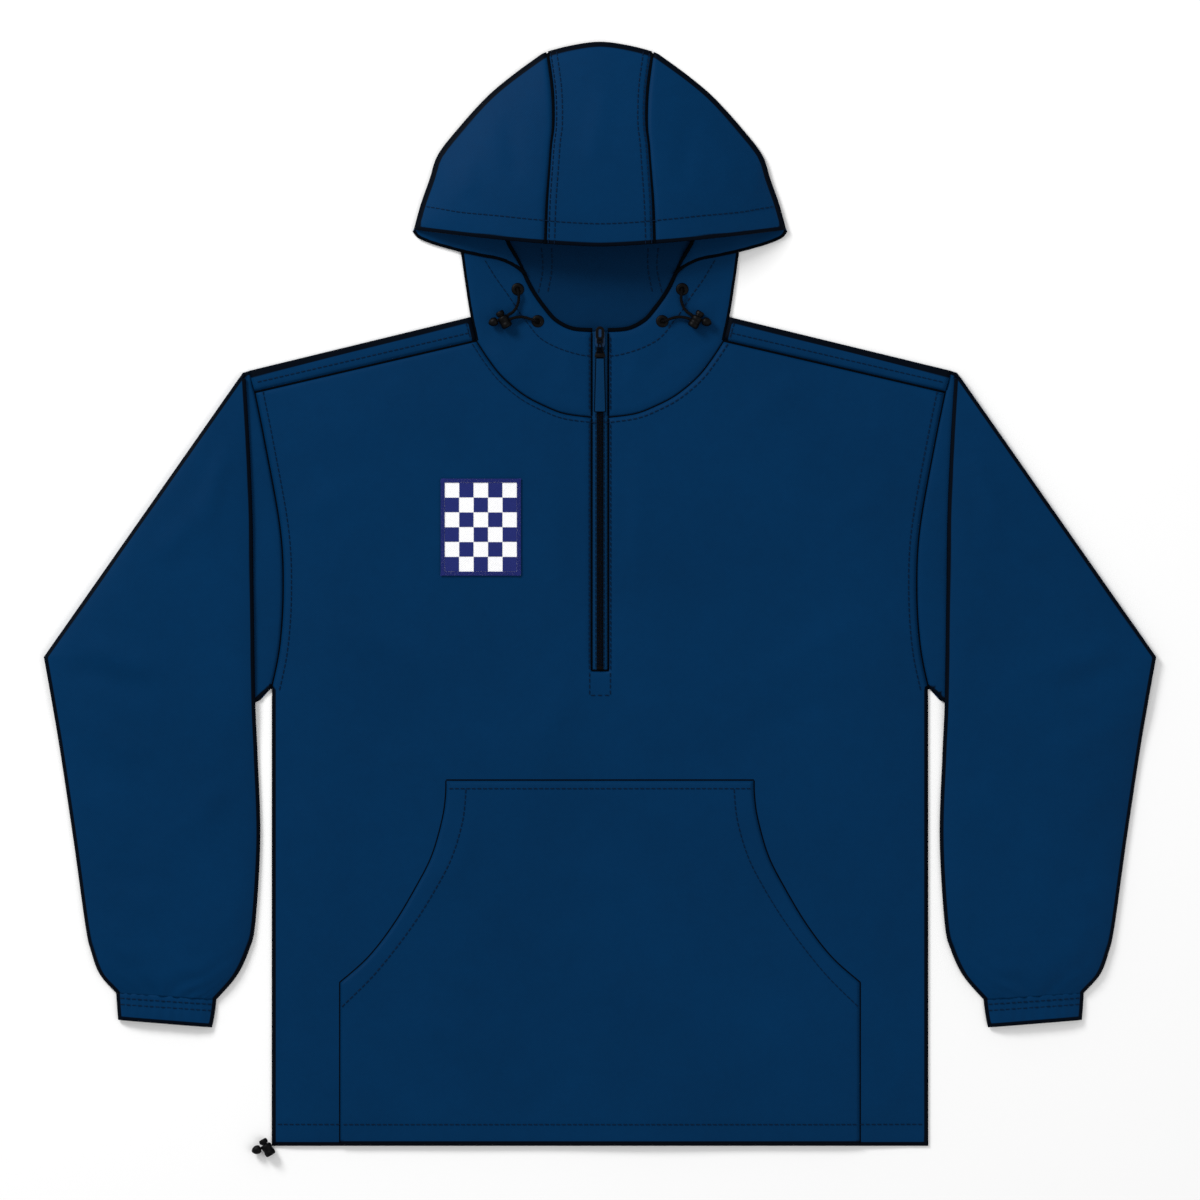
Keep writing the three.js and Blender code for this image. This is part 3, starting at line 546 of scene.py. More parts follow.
def sewLine(bm, path, zAt=None, settings=stitchSettings):  # stitches along a line, flat with zAt or in space
    rows = np.array(path, float)
    lengths = np.concatenate([[0], np.cumsum(np.linalg.norm(np.diff(rows, axis=0), axis=1))])
    count = max(1, int(lengths[-1] / settings["pitch"]))
    pitch = lengths[-1] / count
    for k in range(count):
        ends = [(k + 0.5) * pitch + s * settings["length"] / 2 for s in (-1, 1)]
        spots = [Vector([np.interp(e, lengths, column) for column in rows.T]).to_3d() for e in ends]
        if zAt:
            heights = zAt(np.array([s.x for s in spots]), np.array([s.y for s in spots]))
            for spot, height in zip(spots, heights):
                spot.z = float(height)
        for spot in spots:
            spot.z += settings["radius"] - settings["sink"]
        rod(bm, spots[0], spots[1], settings["radius"], settings["sides"])
    return bm


# body sizes, y from the hem
bodySizes = {
    "halfChest": 295.1,
    "underarm": 409.6,
    "hem": -0.9,
    "neckPoint": (116, 743),
    "armholeTop": (314.5, 692.5),
    "shoulderFold": [(315.3, 695.4), (116.2, 743.8)],
    "armhole": [(309.9, 676.5), (300.7, 631), (286.9, 553), (284.3, 497), (287.5, 447), (295, 409.6)],
    "backNeckDrop": 14,
    "yokeSeam": [(111.2, 722.7), (309.9, 676.5)],
    "neckSeam": [
        (111.2, 722.7), (99.8, 705.3), (87.2, 689.5), (68.2, 673.7), (49.3, 663.7), (30.3, 656.7), (0, 653)],
    "zipHalf": 7.2,
    "zipBottom": 426.6,
    "seamOpen": 0.6,
    "hemStitch": 18.9,
}
armholeLine = smoothPath(bodySizes["armhole"], 6)  # from the shoulder down
neckLine = smoothPath(bodySizes["neckSeam"], 5)  # from the shoulder to the middle


def shoulderLine(x):
    (x0, y0), (x1, y1) = bodySizes["yokeSeam"]
    outer = y0 + (np.abs(x) - x0) * (y1 - y0) / (x1 - x0)
    return np.where(np.abs(x) < x0, y0 + (x0 - np.abs(x)) * 0.6, outer)


def bodyHalf(y):
    rows = [*reversed(bodySizes["armhole"]), bodySizes["armholeTop"]]
    return np.interp(y, [r[1] for r in rows], [r[0] for r in rows])


bodyCreases = [  # x, y to x, y, width, height, bow
    (-262, 470, -120, 408, 15, 1.5, 10),
    (-270, 430, -150, 350, 18, -1.2, -8),
    (266, 480, 130, 400, 15, 1.4, -10),
    (258, 425, 120, 372, 13, -1.1, 6),
    (-278, 560, -205, 590, 14, 1.0, 5),
    (276, 610, 190, 560, 14, 1.1, 8),
    (-215, 700, -120, 610, 17, 1.1, 9),
    (205, 702, 118, 622, 15, 1.0, -9),
    (-60, 640, -36, 470, 12, 1.1, 7),
    (44, 648, 30, 500, 12, 1.0, -6),
    (-24, 424, -64, 356, 13, 1.1, 5),
    (26, 420, 74, 350, 12, 0.9, -6),
    (-282, 330, -236, 190, 16, 1.3, 10),
    (284, 300, 244, 150, 16, 1.2, -9),
    (-280, 120, -242, 30, 12, 0.9, -4),
    (282, 95, 244, 22, 12, 0.9, 5),
    (-180, 380, 10, 352, 20, 0.9, -12),
    (190, 376, 60, 346, 16, -0.8, 8),
]
frontSettings = {
    "floor": 2.7, "loft": 2.4, "flat": 0.35, "roundSide": 60, "roundTop": 60, "roundHem": 50,
    "creaseSide": 22, "creaseTop": 24, "zipEnd": 415, "zipClear": 14,
}


def frontTop(x, y):
    sizes = frontSettings
    half = np.where(y < bodySizes["underarm"], bodySizes["halfChest"], bodyHalf(y))
    inSide, inTop = half - np.abs(x), shoulderLine(x) - y
    loft = smoothStep(inSide / sizes["roundSide"]) * smoothStep(inTop / sizes["roundTop"])
    loft = sizes["loft"] * loft * smoothStep((y + 20) / sizes["roundHem"])
    near = smoothStep(inSide / sizes["creaseSide"]) * smoothStep(inTop / sizes["creaseTop"])
    near = near * np.where(y > sizes["zipEnd"], smoothStep((np.abs(x) - sizes["zipClear"]) / 22), 1)
    slow = 0.5 * np.sin(x / 61 + 0.6) * np.sin(y / 83 + 1.1) + 0.25 * np.sin(x / 27 + y / 39)
    return sizes["floor"] + loft + near * (slow + sizes["flat"] + creases(x, y, bodyCreases))


def flatAt(height):
    return lambda x, y: np.full_like(x, height)


def wholeCut(right):  # both halves, from the right one
    return [*right, *reversed(flipped(right))]


def lowerEdge(inset):  # down the side, along the hem and up the other side
    half, low, top = bodySizes["halfChest"] - inset, bodySizes["hem"] + inset, bodySizes["underarm"]
    return [(-half, top), (-half, low), (half, low), (half, top)]


def makeFront():
    seam, zipHalf = bodySizes["yokeSeam"], bodySizes["zipHalf"]
    armhole = [p for p in reversed(armholeLine) if p[1] < seam[1][1] - 3]
    neck = [p for p in neckLine if p[0] > zipHalf + 2]
    slit = [(zipHalf, neck[-1][1] - 0.4), (zipHalf, bodySizes["zipBottom"])]
    cut = wholeCut([(bodySizes["halfChest"], bodySizes["hem"]), *armhole, seam[1], *neck, *slit])
    flatPiece(
        "frontPanel", cut, frontTop, ["front_panel"], inset=bodySizes["seamOpen"] * 0.8,
        drop=1.25, marks=[lowerEdge(0.5)])


def backNeck(drop):  # the neck's low curve between the shoulders, from the right to the left
    px, py = bodySizes["neckPoint"]
    shares = [1 - i / 10 for i in range(21)]
    return [(px * share, py - drop - bodySizes["backNeckDrop"] * (1 - share**2)) for share in shares]


def makeBack():
    right = [(bodySizes["halfChest"], bodySizes["hem"]), *reversed(armholeLine), *bodySizes["shoulderFold"]]
    cut = [*right, *backNeck(0), *reversed(flipped(right))]
    flatPiece("backPanel", cut, flatAt(1.1), ["back_panel"], cell=12.0, wall=1.0, marks=[lowerEdge(0.3)])


yokeSettings = {"lowTop": 0.9, "highTop": 3.0, "roll": 8, "rows": 7}


def yokePuff(t, share):
    return (0.35 * math.sin(t * 23) + 0.5) * math.sin(math.pi * share)


def yokeEnds(t):  # on the shoulder's fold and on the forward seam
    lines = bodySizes["shoulderFold"], bodySizes["yokeSeam"][::-1]
    return [Vector(start).lerp(Vector(end), t) for start, end in lines]


def yokeLine(up):  # a line above the forward seam
    made = []
    for i in range(61):
        t = 0.02 + 0.96 * i / 60
        fold, seam = yokeEnds(t)
        share = 1 - up / (seam - fold).length
        spot = fold.lerp(seam, share)
        made.append((spot.x, spot.y, yokeSettings["highTop"] + yokePuff(t, share)))
    return made


def makeYoke(name, side):  # the back wraps over the shoulder down to the forward seam
    fold, seam = bodySizes["shoulderFold"], bodySizes["yokeSeam"][::-1]
    sizes, count = yokeSettings, 46
    low, high, turns = sizes["lowTop"], sizes["highTop"], sizes["roll"]
    middle, radius = (low + high) / 2, (high - low) / 2
    rows = []
    for row in range(turns + sizes["rows"] + 1):
        places = []
        for i in range(count + 1):
            t = i / count
            edge, end = yokeEnds(t)
            inward = (end - edge).normalized()
            if row <= turns:
                angle = math.pi * row / turns
                spot = edge + inward * radius * (1 - math.sin(angle))
                z = middle - radius * math.cos(angle)
            else:
                share = (row - turns) / sizes["rows"]
                spot = (edge + inward * radius).lerp(end - inward * bodySizes["seamOpen"], share)
                z = high + yokePuff(t, share) - (1.1 if share == 1 else 0)
            places.append((side * spot.x, spot.y, z))
        rows.append(places)
    bm = growSheet(rows)
    # the yoke's fold and seam lines get painted edge shade
    dark = (fold, [bodySizes["armholeTop"], bodySizes["neckPoint"]], [fold[1], seam[1]])
    markEdgeShade(bm, [flipped(line, side) for line in dark])
    made = piece(name, bm, "shell", "shell", wall=0.8, kind="sheet")
    layCloth(made, [*fold, *reversed(seam)])


makeBack()
makeFront()
for name, side in sides.items():
    makeYoke(name + "Yoke", side)
print("body laid out")

# pouch pocket
pocketSizes = {
    "topHalf": 138,
    "bottomHalf": 233.3,
    "top": 327.6,
    "mouth": [
        (138, 327.6), (138.4, 313.4), (141.4, 292.7), (150.6, 260.6), (164.4, 233.1), (185, 198.6),
        (208, 168.8), (233.3, 146.3),
    ],
    "mouthStitch": [
        (120.3, 320.4), (123, 292.8), (132.3, 260.6), (146, 233.1), (169, 196.4), (201.2, 155.1),
        (232.2, 124.2),
    ],
    "topStitch": 320.4,
}
pocketMouth = smoothPath(pocketSizes["mouth"], 6)
pocketCreases = [
    (-112, 322, -150, 214, 12, 1.4, 7),
    (112, 322, 152, 210, 12, 1.3, -8),
    (-60, 250, 40, 226, 18, 1.0, 9),
    (-30, 160, 90, 120, 17, 0.9, -8),
    (-190, 120, -70, 64, 15, 1.1, 9),
    (200, 112, 96, 44, 15, 1.0, -7),
    (-20, 80, -80, 22, 13, -0.9, 5),
    (40, 300, 96, 196, 13, -0.8, 6),
]


def pocketTop(x, y):
    sizes = pocketSizes
    half = np.interp(y, [sizes["mouth"][-1][1], sizes["top"]], [sizes["bottomHalf"], sizes["topHalf"]])
    near = smoothStep((half - np.abs(x)) / 18) * smoothStep((sizes["top"] - y) / 14)
    return frontTop(x, y) + 1.3 + near * (0.5 + creases(x, y, pocketCreases))


def makePocket():
    cut = wholeCut([(pocketSizes["bottomHalf"], 0), *reversed(pocketMouth)])
    hem = [(-232.8, 0.4), (232.8, 0.4)]
    flatPiece("pouchPocket", cut, pocketTop, ["pouch_pocket"], drop=1.1, marks=[hem])


makePocket()
print("pocket sewn on")

# hood
hoodSizes = {
    "crown": [
        (167.3, 822), (161, 845), (153, 867.6), (145.8, 889.2), (127.8, 912.6), (103.5, 939.6),
        (82.8, 957.6), (58.5, 975.6), (47.7, 981.9), (24, 988), (0, 990.9),
    ],
    "brim": (805.5, 16.5, 1.5),
    "floor": 3.0,
    "cloth": 1.2,
    "loft": 31.5,
    "seam": [(0, 0.292), (0.25, 0.27), (0.5, 0.227), (0.62, 0.2), (0.8, 0.19), (1, 0.2)],
    "fold": [
        (168.3, 820.8), (165.4, 816.4), (161, 813.4), (150, 809), (136, 804.9), (121.5, 801.1), (105.3, 797.6),
        (90, 794.6), (77, 788.6), (67.5, 781),
    ],
    "foldInner": [(75.6, 796.5), (82.8, 809.1), (88, 824)],
    "mouth": [(67.5, 781), (62, 768.6), (49.5, 750.6), (39.6, 739.8), (25, 732.6), (7.2, 730.8)],
    "neckSide": [(124.9, 804.6), (120.6, 774), (116.2, 746), (111.2, 722.7)],
    "channel": [
        (103.6, 795), (93.5, 778.6), (83.4, 764.6), (73.3, 749.5), (63.2, 735.7), (53.1, 724.2), (36.6, 715.4),
        (17.7, 709.7), (7.7, 708.8),
    ],
    "facing": {"span": (88, 166.5), "above": 10, "tip": (162.6, 836)},
    "rows": 34,
}
crownTable = [*hoodSizes["crown"], *reversed(flipped(hoodSizes["crown"][:-1]))]  # right to left
crownSpots = smoothPath(crownTable, 2.0)


def crownAt(share):  # the outer fold, share 0 at the right tip to 1 at the left
    place = share * (len(crownTable) - 1)
    i = min(int(place), len(crownTable) - 2)
    return bendAt([Vector(p) for p in crownTable], i, place - i)


def brimAt(s):
    middle, rise, power = hoodSizes["brim"]
    return Vector((hoodSizes["crown"][0][0] * s, middle + rise * abs(s) ** power))


def domeHeight(s, t):
    low = hoodSizes["floor"] + hoodSizes["cloth"]
    return low + hoodSizes["loft"] * (1 - abs(s) ** 2.5) * (1 - t**2.2)


foldRadius = (hoodSizes["floor"] + hoodSizes["cloth"]) / 2
hoodCreases = [
    (70, 852, 86, 930, 9, -1.5, 0),
    (112, 846, 118, 898, 8, 1.3, 0),
    (-74, 856, -84, 934, 9, -1.4, 0),
    (-118, 846, -120, 892, 8, 1.2, 0),
    (-12, 866, 8, 962, 10, 1.0, 0),
]


def hoodCrease(x, y):
    return 0.5 * math.sin(x / 19 + 0.5) * math.sin(y / 23) + float(creases(x, y, hoodCreases))


def crownPoint(s, t):  # s from -1 at the left tip to 1, t from 0 at the brim to 1, then round the fold
    share, step = (1 - s) / 2, 0.004
    edge = crownAt(share)
    nearby = crownAt(min(1, share + step)) - crownAt(max(0, share - step))
    outward = Vector((nearby.y, -nearby.x)).normalized()
    wide = foldRadius * min(1, (1 - abs(s)) * 14 + 0.12)
    inner = edge - outward * wide
    if t <= 1:
        x, y = brimAt(s).lerp(inner, t)
        near = math.sin(math.pi * t) * (1 - abs(s) ** 3)
        roll = 0.7 * math.exp(-((t / 0.012) ** 2))
        return x, y, domeHeight(s, t) + hoodCrease(x, y) * min(1, 1.6 * near) - roll
    angle = math.pi * (t - 1)
    spot = inner + outward * wide * math.sin(angle)
    return spot.x, spot.y, foldRadius + 0.1 + foldRadius * math.cos(angle)


seamTable = smoothPath(hoodSizes["seam"], 0.02)


def seamShare(t):
    return float(np.interp(min(t, 1), [r[0] for r in seamTable], [r[1] for r in seamTable]))


def crownRows():
    flat = [0, 0.008, 0.018, *(i / hoodSizes["rows"] for i in range(1, hoodSizes["rows"])), 0.985, 1]
    return [*flat, *(1 + i / 8 for i in range(1, 9))]


def crownShadeLines():
    spots = [crownAt(i / 120) for i in range(121)]
    brim = [brimAt(i / 40 - 1) for i in range(81)]
    return [[tuple(p) for p in spots], offsetPath(spots, 1.3), [tuple(p) for p in brim]]


def makeCrownPanel(name, sFrom, sTo, columns, nodes):
    rows = []
    for t in crownRows():
        low, high = sFrom(t), sTo(t)
        places = [crownPoint(low + (high - low) * i / columns, t) for i in range(columns + 1)]
        for end, s in ((0, low), (columns, high)):  # the seam allowance pulls the edge down
            if abs(s) < 0.5 and t <= 1:
                x, y, z = places[end]
                places[end] = (x, y, z - seamDip)
        rows.append(places)
    bm = growSheet(rows)
    # painted edge shade along the crown's fold and the brim
    markEdgeShade(bm, crownShadeLines())
    return piece(name, bm, "shell", "shell", nodes, wall=0.9, inner="inside", kind="sheet")


seamGap, seamDip, tipShare = 0.0042, 0.9, 0.992
crownPieces = {
    "hoodCentre": (lambda t: -seamShare(t) + seamGap, lambda t: seamShare(t) - seamGap, 22, ["hood_centre"]),
    "leftHoodSide": (lambda t: -tipShare, lambda t: -seamShare(t) - seamGap, 26, ["hood_side_left"]),
    "rightHoodSide": (lambda t: seamShare(t) + seamGap, lambda t: tipShare, 26, ["hood_side_right"]),
}


def panelCut(low, high):  # the flat cut of a crown panel, from the brim to the fold
    rows = crownRows()
    left = [crownPoint(low(t), t)[:2] for t in rows]
    top = [crownPoint(low(2) + (high(2) - low(2)) * i / 12, 1.5)[:2] for i in range(1, 12)]
    right = [crownPoint(high(t), t)[:2] for t in reversed(rows)]
    bottom = [tuple(brimAt(high(0) + (low(0) - high(0)) * i / 12)) for i in range(1, 12)]
    return [*left, *top, *right, *bottom]


for name, (low, high, columns, nodes) in crownPieces.items():
    made = makeCrownPanel(name, low, high, columns, nodes)
    layCloth(made, panelCut(low, high))

foldLine = smoothPath(hoodSizes["fold"], 5)
wing = [p for p in reversed(foldLine) if p[0] > hoodSizes["neckSide"][0][0] + 1]
rise = [*reversed(hoodSizes["neckSide"][:3]), *wing]
hoodCut = [*reversed(backNeck(1.2)), *rise, *crownSpots[1:-1:3], *reversed(flipped(rise))]


def hoodBackTop(x, y):
    slow = 0.25 * np.sin(x / 17) * np.sin(y / 21 + 0.4)
    return 1.25 + slow * smoothStep((95 - np.abs(x)) / 40)


def facingTop(x, y):
    return 2.7 + 1.6 * smoothStep((135 - np.abs(x)) / 14) + 0.3 * np.sin(x / 9) * smoothStep((y - 800) / 20)


near, far = hoodSizes["facing"]["span"]
facingBrim = [brimAt((near + (far - near) * i / 6) / far) for i in range(1, 6)]
facingCut = [
    *foldLine, *hoodSizes["foldInner"], *((p.x, p.y + hoodSizes["facing"]["above"]) for p in facingBrim),
    hoodSizes["facing"]["tip"],
]


collarCreases = [
    (100, 720, 60, 690, 9, 0.9, 4),
    (30, 722, 22, 672, 7, 0.8, 3),
    (104, 770, 86, 716, 8, 0.9, -4),
    (66, 716, 40, 684, 7, -0.7, -3),
]


def collarTop(x, y):
    near = smoothStep((118 - np.abs(x)) / 12) * smoothStep((np.abs(x) - 12) / 10)
    return frontTop(x, y) + 0.15 + near * creases(np.abs(x), y, collarCreases)


collarCut = [
    *(p for p in neckLine if p[0] > bodySizes["zipHalf"] + 2),
    (bodySizes["zipHalf"], 653.9),
    *smoothPath(list(reversed(hoodSizes["mouth"])), 4),
    (75, 795), (82, 807), (100, 806), (118, 806),
    *hoodSizes["neckSide"][:3],
]


flatPiece("hoodBack", hoodCut, hoodBackTop, inset=1.3, drop=0.3, finish="inside", inner="shell")
for name, side in sides.items():
    flatPiece(  # the inner face of the hood's edge, seen below the brim
        name + "HoodFacing", facingCut, facingTop, side=side, cell=3.0, rim=1.0, drop=0.9,
        reach=1.6, wall=0.8)
    flatPiece(
        name + "Collar", collarCut, collarTop, ["collar_" + name], side=side,
        inset=bodySizes["seamOpen"] * 0.8, cell=3.5, rim=1.2, drop=1.3, reach=1.9)
print("hood and collar laid out")

# sleeves
sleeveRows = [  # outer x, y, inner x, y, base, height
    (324, 688.9, 318, 688, 3.0, 2.8),
    (365, 630.3, 314.4, 627, 3.0, 5.0),
    (410, 566, 311.8, 564, 3.0, 6.4),
    (454.6, 502.3, 310.9, 500, 3.0, 7.4),
    (499.3, 438.5, 310.1, 440, 3.0, 7.6),
    (491.4, 394, 309.2, 392, 2.6, 8.0),
    (484.2, 350, 307.4, 350, 0.2, 9.4),
    (472.2, 269.6, 305.0, 276, 0, 10.0),
    (462, 196.3, 309.4, 200, 0, 10.6),
    (456.9, 173.6, 315.2, 175, 0, 10.8),
    (449.2, 153.4, 326.2, 152, 0, 10.0),
    (434.3, 136.6, 344.6, 130.6, 0, 6.8),
]
cuffRows = [
    (434.3, 137.4, 344.4, 131.4, 0, 6.0),
    (434.4, 135.6, 344.5, 129.6, 0, 6.7),
    (433.8, 126, 345.6, 120.5, 0, 7.2),
    (433.2, 118, 347, 112, 0, 7.2),
    (432.7, 112.6, 348.4, 105.9, 0, 6.6),
]
sleeveCreases = [  # for the side where x is positive
    (330, 640, 352, 520, 9, 1.6, 7),
    (346, 600, 410, 520, 12, 1.6, -9),
    (470, 462, 380, 430, 14, 2.0, 12),
    (488, 428, 400, 396, 12, -1.8, -9),
    (480, 396, 390, 350, 13, 1.7, 10),
    (330, 470, 322, 350, 11, 1.4, -8),
    (322, 330, 372, 270, 12, 1.6, 7),
    (468, 330, 420, 262, 12, 1.5, -8),
    (450, 260, 392, 232, 13, -1.3, 8),
    (322, 250, 340, 186, 10, 1.3, -6),
    (440, 210, 412, 160, 9, 1.3, 5),
    (380, 300, 398, 190, 13, 1.2, 9),
]
underarmEdge = [(455, 418), (405, 405), (350, 396), (310.5, 396.8), (303, 402.9), (295, 409.6)]
shoulderTip, elbow = (320.4, 694), (499.3, 438.5)


def tubePoint(row, angle, crease):
    across = math.cos(angle)
    edge = 1.6
    x = row[2] + (row[0] - row[2]) * (across + 1) / 2
    y = row[3] + (row[1] - row[3]) * (across + 1) / 2
    height = max(row[5], 2 * edge)
    if math.sin(angle) >= 0:
        z = edge + (height - edge) * math.sqrt(max(0, 1 - abs(across) ** 4)) + crease(x, y) * (1 - across**4)
    else:
        z = edge * abs(across) ** 10
    return x, y, row[4] + z


def tubeRing(row, side, crease, half):
    return flipped([tubePoint(row, math.pi * k / half, crease) for k in range(2 * half)], side)


def sleeveCrease(x, y):  # creases, slow waves, and gathers above the cuff
    slow = 0.6 * math.sin(x / 21 + 0.8) * math.sin(y / 33)
    nearCuff = float(smoothStep(1 - (y - sleeveRows[-1][3]) / 62))
    gathers = 0.9 * nearCuff * math.sin(x * 13 / 14 + 0.6 * math.sin(x / 5.3))
    return float(creases(x, y, sleeveCreases)) + slow + gathers


def cuffCrease(x, y):
    return 0.3 * math.sin(x * 0.62 + 0.7 * math.sin(x / 6)) + 0.1 * math.sin(x * 1.6 + y / 9)


def tubeCut(rows):  # area, width and length, round the tube, so twice its width
    outer, inner = (np.array(rows, float)[:, k:k + 2] for k in (0, 2))
    lengths = np.linalg.norm(np.diff((outer + inner) / 2, axis=0), axis=1)
    widths = 2 * np.linalg.norm(outer - inner, axis=1)
    area = (lengths * (widths[:-1] + widths[1:]) / 2).sum()
    return float(area) * mm * mm, float(widths.max()) * mm, float(lengths.sum()) * mm


def makeTube(name, rows, side, crease, half, node, lines=(), capped=False, **look):
    bm = growSheet([tubeRing(row, side, crease, half) for row in rows], closed=True)
    if capped:  # the first ring
        bm.verts.ensure_lookup_table()
        first = set(bm.verts[:2 * half])
        bmesh.ops.holes_fill(bm, edges=[e for e in bm.edges if e.is_boundary and first.issuperset(e.verts)])
    # painted edge shade along the tube's outlines
    dark = ([r[:2] for r in rows], [r[2:4] for r in rows], *lines)
    markEdgeShade(bm, [flipped(line, side) for line in dark])
    return piece(name, bm, "shell", nodes=[node], kind="tube", **look)


def makeSleeve(name, side, node):
    rows = [*smoothPath(sleeveRows[:5], 6)[:-1], *smoothPath(sleeveRows[4:], 5)]
    made = makeTube(name, rows, side, sleeveCrease, 30, node, capped=True, slot="shell", wall=0.8)


def underTop(x, y):
    return 2.7 + 0.25 * np.sin(x / 13) * np.sin(y / 19) + 0 * y


def sleeveFold(side):  # the cloth turning over at the fold from shoulder to elbow
    start, end = Vector(shoulderTip), Vector(elbow)
    along = (end - start).normalized()
    outward = Vector((-along.y, along.x))
    radius, floor, tuck, count, turns = 2.35, 0.75, 0.35, 60, 12
    rows = []
    for row in range(turns + 1):
        angle = math.pi * (row / turns - 0.5)
        places = []
        for i in range(count + 1):
            spot = start.lerp(end, i / count) + outward * (radius * math.cos(angle) - radius)
            swell = 1 + 0.07 * math.sin(i * 0.7)
            places.append((side * spot.x, spot.y, floor + (radius * swell - tuck) * (1 + math.sin(angle))))
        rows.append(places)
    bm = growSheet(rows)
    markEdgeShade(bm, [flipped([shoulderTip, (326, 686)], side), flipped([(492, 449), elbow], side)])
    bmesh.ops.recalc_face_normals(bm, faces=bm.faces)
    if sum(f.normal.x for f in bm.faces) * side < 0:
        bmesh.ops.reverse_faces(bm, faces=bm.faces)
    return bm


def makeSleeveUnder(name, side):  # the two plies below the sleeve, and their fold
    armhole = [(x + bodySizes["seamOpen"], y) for x, y in reversed(armholeLine)]
    edge = smoothPath(underarmEdge, 8)
    cut = [shoulderTip, elbow, *edge[:-1], *armhole, (313.8, 696)]
    outline = insetOutline(flipped(cut, side), 0.3)
    upper = raiseSheet(clothGrid(outline, 5.0, rim=2.4), underTop, outline, drop=1.0)
    markEdgeShade(upper, [flipped(edge, side), flipped([(315.4, 695.3), shoulderTip, (323, 690.5)], side)])
    lower = raiseSheet(clothGrid(outline, 14.0, rim=0), flatAt(0.9))
    made = piece(name, joined([upper, lower, sleeveFold(side)]), "shell", "shell", wall=0.8)


def joined(pieces):
    mesh = bpy.data.meshes.new("joining")
    for other in pieces[1:]:
        other.to_mesh(mesh)
        pieces[0].from_mesh(mesh)
        other.free()
    bpy.data.meshes.remove(mesh)
    return pieces[0]


def makeCuff(name, side, node):
    rows = smoothPath(cuffRows, 1.6)
    made = makeTube(
        name, rows, side, cuffCrease, 64, node, lines=[(rows[-1][:2], rows[-1][2:4])], slot="cuff", wall=0.9,
        inner="inside")
    area, width, length = tubeCut(rows)
    width, area = width * 1.25, area * 1.25  # drawn in by the elastic


for name, side in sides.items():
    makeSleeveUnder(name + "SleeveUnder", side)
    makeSleeve(name + "Sleeve", side, "sleeve_" + name)
    makeCuff(name + "Cuff", side, "cuff_" + name)
print("sleeves and cuffs laid out")


# seams: near-black tape in the grooves and beside the pocket's edges, as painted seam shade, and rows of
# stitches
def spaced(start, end, step=6):
    count = max(1, math.ceil(math.dist(start, end) / step))
    return [tuple(a + (b - a) * i / count for a, b in zip(start, end)) for i in range(count + 1)]


def lower(zAt, amount):
    return lambda x, y: zAt(x, y) - amount


def bothSides(path):
    return [flipped(path, side) for side in sides.values()]


def seamShadePiece(name, wall, rows):  # strips of near-black tape, painted shade in and beside seams: paths, width, height
    bm = bmesh.new()
    for paths, width, zAt in rows:
        for path in paths:
            ribbon(path, width, zAt, bm)
    piece(name, bm, "darkTrimAndSeamShade", "shell", wall=wall, kind="sheet")


def makeSeamShade():
    seam, beside = 2.6, 1.6  # widths
    sewnEnd, pocketTopLine = pocketSizes["mouth"][-1], pocketSizes["top"] + 0.2
    zipSides = [spaced((7.4, 652), (7.4, 426.8)), spaced((7.4, 655), (7.4, 729))]
    # painted shade in the yoke, armhole and neck seams, and at the zip slot's edges
    seamShadePiece("bodySeamShade", 0.3, [
        (bothSides(spaced(*bodySizes["yokeSeam"])), seam, flatAt(1.75)),
        (bothSides([(315.2, 694), *armholeLine]), seam, flatAt(1.35)),
        (bothSides(neckLine), seam, lower(frontTop, 1.15)),
        ([p for path in zipSides for p in bothSides(path)], beside, flatAt(4.42)),
        ([spaced((-7.6, 426.4), (7.6, 426.4))], beside, flatAt(4.42)),
    ])
    # painted shadow on the front along the pocket's edges
    pocketSides = bothSides([*pocketMouth, *spaced((sewnEnd[0], 144), (sewnEnd[0], 2))])
    seamShadePiece("pocketSeamShade", 0.2, [
        ([spaced((-138, pocketTopLine), (138, pocketTopLine)), *pocketSides], 1.8, lower(frontTop, -0.12))])
    # painted shade below the hood's crown seams
    crown = bmesh.new()
    for side in sides.values():
        rows = []
        for t in (row for row in crownRows() if row < 1.2):
            ends = [crownPoint(side * (seamShare(t) + d), t) for d in (-0.008, 0.008)]
            rows.append([(x, y, z - 0.75) for x, y, z in ends])
        growSheet(rows, crown)
    piece("hoodSeamShade", crown, "darkTrimAndSeamShade", "shell", wall=0.3, kind="sheet")


def mouthTop(x, y):  # from the facing down to the collar
    share = smoothStep((802 - y) / 12)
    return (facingTop(x, y) - 0.3) * (1 - share) + (collarTop(x, y) - 0.45) * share


def makeBindings():  # the hood's opening, its turned edge and the collar's sides
    mouth = smoothPath([*reversed(hoodSizes["foldInner"]), *hoodSizes["mouth"][1:-1], (6.9, 731.2)], 4)
    rows = {  # path, inward, width, rise, height, thickness
        "MouthBinding": (mouth, 0.9, 3.4, 0.7, mouthTop, 0.5),
        "FoldBinding": (foldLine, 1.5, 3.2, 0.7, lower(facingTop, 0.4), 0.4),
        "NeckBinding": (smoothPath(hoodSizes["neckSide"], 4), 1.2, 3.2, 0.5, lower(collarTop, 0.9), 0.4),
    }
    for name, side in sides.items():
        for kind, (path, inward, width, rise, zAt, wall) in rows.items():
            bm = binding(flipped(offsetPath(path, -inward), side), width, rise, zAt)
            piece(name + kind, bm, "darkTrimAndSeamShade", "shell", wall=wall, kind="sheet")


makeBindings()


def crownLine(middle, ends, sEnd=0.955, count=110):  # a line above the brim
    made = []
    for i in range(count + 1):
        s = sEnd * (2 * i / count - 1)
        start, end = brimAt(s), Vector(crownPoint(s, 1)[:2])
        t = (middle + (ends - middle) * abs(s) ** 2) / (end - start).length
        if t < 0.96:
            made.append(crownPoint(s, t))
    return made


